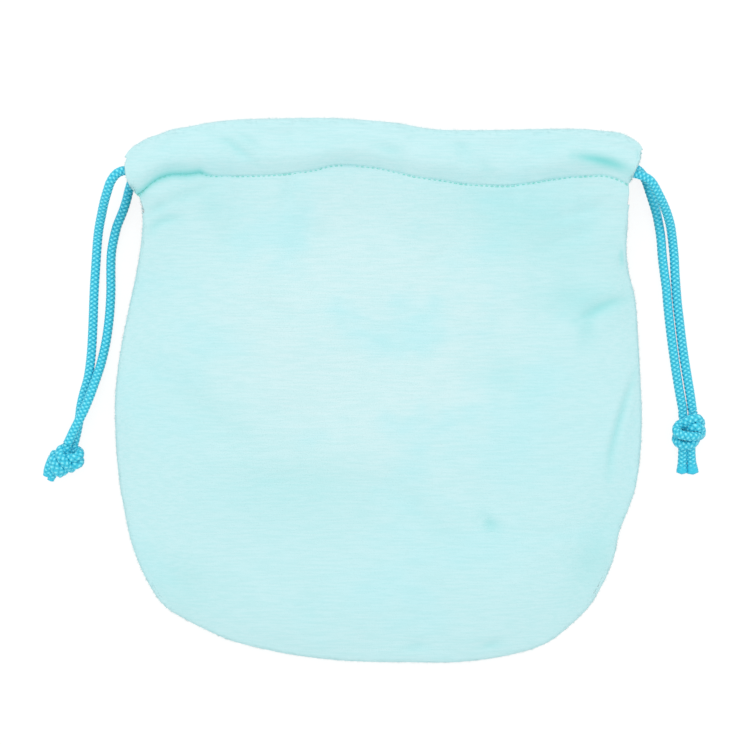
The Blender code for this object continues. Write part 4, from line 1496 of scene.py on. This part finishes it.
@dataclass(frozen=True)
class PileFringe:
    """Pile that stands out past the edges of the plush, as thin closed spikes."""

    spacing: float = 0.07 * MM
    length: Pair = (0.35 * MM, 1.0 * MM)
    width: float = 0.07 * MM
    spread: float = 0.45
    root: float = 0.25 * MM
    steepest: float = 75.0
    seed: int = 11

    def spike(self) -> Shell:
        """One spike, a three-sided pyramid of length and radius 1 along x."""
        corners = np.radians([0.0, 120.0, 240.0])
        foot = np.column_stack([np.zeros(3), np.cos(corners), np.sin(corners)])
        faces = np.array([[0, 2, 1], [0, 1, 3], [1, 2, 3], [2, 0, 3]])
        return Shell(np.vstack([foot, [1.0, 0.0, 0.0]]), np.zeros((0, 4), int), faces, np.zeros(4))

    def along_edge(self, line: Array, outward: Array, depth: Array, rise: float) -> Shell:
        """Spikes on the outer side of an edge that is round in section, each leaning at random.

        A root lies back from the line by the depth times 1 less the cosine of its angle, and above
        it by the rise times the sine, so that the outermost roots are on the line.

        Args:
            line: the edge's outermost line, one point a row.
            outward: the direction out of the cloth at each point.
            depth: radius of the edge's section in the plane, at each point.
            rise: radius of its section in height.

        Returns:
            All spikes of the edge.
        """
        rng = np.random.default_rng(self.seed + len(line))
        count = int(lengths_along(line)[-1] / self.spacing)
        share = rng.uniform(0.0, 1.0, count)
        angle = np.radians(rng.uniform(-self.steepest, self.steepest, count))[:, None]
        out = unit(between_rows(outward, share))
        normal = out * np.cos(angle) + UP * np.sin(angle)
        back = between_rows(depth[:, None], share) * (np.cos(angle) - 1.0)
        base = read_share(line, share) + out * back + UP * rise * np.sin(angle) - normal * self.root
        lean = unit(normal + rng.normal(0.0, self.spread, (count, 3)))
        reach = rng.uniform(*self.length, count)[:, None] + self.root
        side = unit(np.cross(lean, rng.normal(0.0, 1.0, (count, 3))))
        axes = np.stack([lean * reach, side * self.width, np.cross(lean, side) * self.width], axis=1)
        return repeated(self.spike(), base, axes)

    def edges(self, panel: Panel) -> list[tuple[Array, Array, Array, Array, float, float]]:
        """Each fluffy edge of a panel: its line, slide, height, depth and rise, and its outer side."""
        facing = panel.side.value
        sewn = HEIGHTS.seam_at(panel.rim[:, 1]) + facing * (HEIGHTS.cloth / 2 + HEIGHTS.edge_fold)
        channel = np.full(len(panel.top), HEIGHTS.channel(panel.side))
        outer = np.full(len(panel.left_end), HEIGHTS.inner_ply(panel.side) + facing * 2 * HEIGHTS.top_fold)
        half = HEIGHTS.cloth / 2
        seam = HEIGHTS.edge_fold * panel.fold_share(panel.rim[:, 1]) + half
        top = HEIGHTS.top_fold * panel.top_share + half
        end = np.full(len(panel.left_end), half)
        slide = ease(np.linspace(0.0, 1.0, len(end)) / panel.shift_from)
        return [
            (panel.rim, np.zeros(len(sewn)), sewn, seam, HEIGHTS.edge_fold + half, 1.0),
            (panel.top, np.ones(len(top)), channel, top, HEIGHTS.casing / 2, -1.0),
            (panel.left_end, slide, outer, end, half, -1.0),
            (panel.right_end, slide, outer, end, half, 1.0),
        ]

    def dress(self, panels: tuple[Panel, ...], plush: Material) -> Object:
        """Set the fringe round the sewn edges, the top folds and the channels' open ends.

        Args:
            panels: the two panels.
            plush: the plush material.

        Returns:
            The fringe.
        """
        parts = []
        for panel in panels:
            for line, slide, z, depth, rise, way in self.edges(panel):
                outward = np.column_stack([moved(line, way) - line, np.zeros(len(line))])
                placed = np.column_stack([panel.slid(line, slide), z])
                parts.append(self.along_edge(placed, outward, depth, rise))
        fringe = as_one(parts).make("pile_fringe", "crease", plush)
        return fringe


@dataclass(frozen=True)
class Studio:
    """Plain pale floor, even light from all round and one large soft lamp beyond the mouth."""

    floor_half: float = 2.0
    floor_drop: float = 0.05 * MM
    floor_colour: float = 0.80
    floor_glow: float = 0.86
    shadow_share: float = 0.19
    surround: float = 0.955
    lamp_place: Triple = (-0.15, 0.85, 0.75)
    lamp_size: float = 0.7
    lamp_power: float = 1.7

    def floor_material(self) -> Material:
        """White to the camera with a light shadow, and plain diffuse to every other ray."""
        material = bpy.data.materials.new("pale_floor")
        material.use_nodes = True
        tree = material.node_tree
        tree.nodes.clear()
        plain, faint = ((*(share,) * 3, 1.0) for share in (self.floor_colour, self.shadow_share))
        diffuse = add_node(tree, "ShaderNodeBsdfDiffuse", {"Color": plain}).outputs[0]
        shadowed = add_node(tree, "ShaderNodeBsdfDiffuse", {"Color": faint}).outputs[0]
        glow = add_node(tree, "ShaderNodeEmission", {"Strength": self.floor_glow}).outputs[0]
        seen = add_node(tree, "ShaderNodeAddShader", {0: glow, 1: shadowed}).outputs[0]
        camera = add_node(tree, "ShaderNodeLightPath", {}).outputs["Is Camera Ray"]
        both = add_node(tree, "ShaderNodeMixShader", {0: camera, 1: diffuse, 2: seen}).outputs[0]
        add_node(tree, "ShaderNodeOutputMaterial", {"Surface": both})
        return material

    def lay_floor(self) -> None:
        """The floor, a hair below the pouch."""
        corners = [(-1, -1), (1, -1), (1, 1), (-1, 1)]
        places = [(x * self.floor_half, y * self.floor_half, -self.floor_drop) for x, y in corners]
        mesh = bpy.data.meshes.new("floor")
        mesh.from_pydata(places, [], [(0, 1, 2, 3)])
        mesh.materials.append(self.floor_material())
        floor = bpy.data.objects.new("floor", mesh)
        bpy.context.scene.collection.objects.link(floor)

    def light(self) -> None:
        """White light from all round, which the camera sees as plain white, and the soft lamp."""
        scene = bpy.context.scene
        world = bpy.data.worlds.new("studio")
        world.use_nodes = True
        tree = world.node_tree
        background = tree.nodes["Background"]
        background.inputs["Color"].default_value = (1.0, 1.0, 1.0, 1.0)
        camera = add_node(tree, "ShaderNodeLightPath", {}).outputs["Is Camera Ray"]
        limits = {"Value": camera, "To Min": self.surround, "To Max": 1.0}
        strength = add_node(tree, "ShaderNodeMapRange", limits).outputs["Result"]
        tree.links.new(strength, background.inputs["Strength"])
        scene.world = world
        lamp = bpy.data.lights.new("soft_lamp", "AREA")
        lamp.size = self.lamp_size
        lamp.energy = self.lamp_power
        holder = bpy.data.objects.new("soft_lamp", lamp)
        holder.location = self.lamp_place
        holder.rotation_euler = Vector(self.lamp_place).to_track_quat("Z", "Y").to_euler()
        scene.collection.objects.link(holder)
        scene.view_settings.view_transform = "Standard"


def seam_line(panel: Panel, inside: float) -> tuple[Array, Array]:
    """Line of the seam between the panels, a little inside the edge, and the way out of it."""
    sewn = panel.rim[panel.rim[:, 1] < HEIGHTS.slit_y]
    places = moved(sewn, -inside)
    out = np.column_stack([sewn - places, np.zeros(len(sewn))])
    return np.column_stack([places, HEIGHTS.seam_at(places[:, 1])]), out


def channel_line(panel: Panel, below: float, lift: float) -> tuple[Array, Array]:
    """Line of the stitches on the outside, a little below the channel, and the way out of the cloth."""
    out = panel.side.value * (HEIGHTS.cloth / 2 + lift)
    z = np.full(len(panel.stitches), HEIGHTS.stitch(panel.side) + out)
    places = panel.stitches - [0.0, below]
    return np.column_stack([places, z]), UP * panel.side.value


def main() -> None:
    """Build every piece in order and report it."""
    logging.basicConfig(level=logging.INFO, format="%(message)s")
    VIEW.make_camera()
    studio = Studio()
    studio.lay_floor()
    studio.light()
    plush, braid, thread = PlushFinish().make(), BraidFinish().make(), ThreadFinish().make()
    for route, knot in ((LEFT_ROUTE, LEFT_KNOT), (RIGHT_ROUTE, RIGHT_KNOT)):
        route.dress(braid, knot.dress(braid))
    back = Panel(Side.BACK, columns=110, body_rows=100, channel_rows=16)
    front = Panel(Side.FRONT, columns=190, body_rows=160, channel_rows=36)
    lower = back.dress(plush, ())
    front.dress(plush, (lower,))
    for panel in (front, back):
        row = Stitching(f"{panel.name}_channel_stitches")
        row.dress(*channel_line(panel, below=0.75 * MM, lift=0.25 * MM), thread)
    seam = Stitching("side_seam_stitches", pitch=2.4 * MM, length=2.0 * MM, radius=0.14 * MM)
    seam.dress(*seam_line(front, inside=1.9 * MM), thread)
    PileFringe().dress((front, back), plush)


if __name__ == "__main__":
    main()
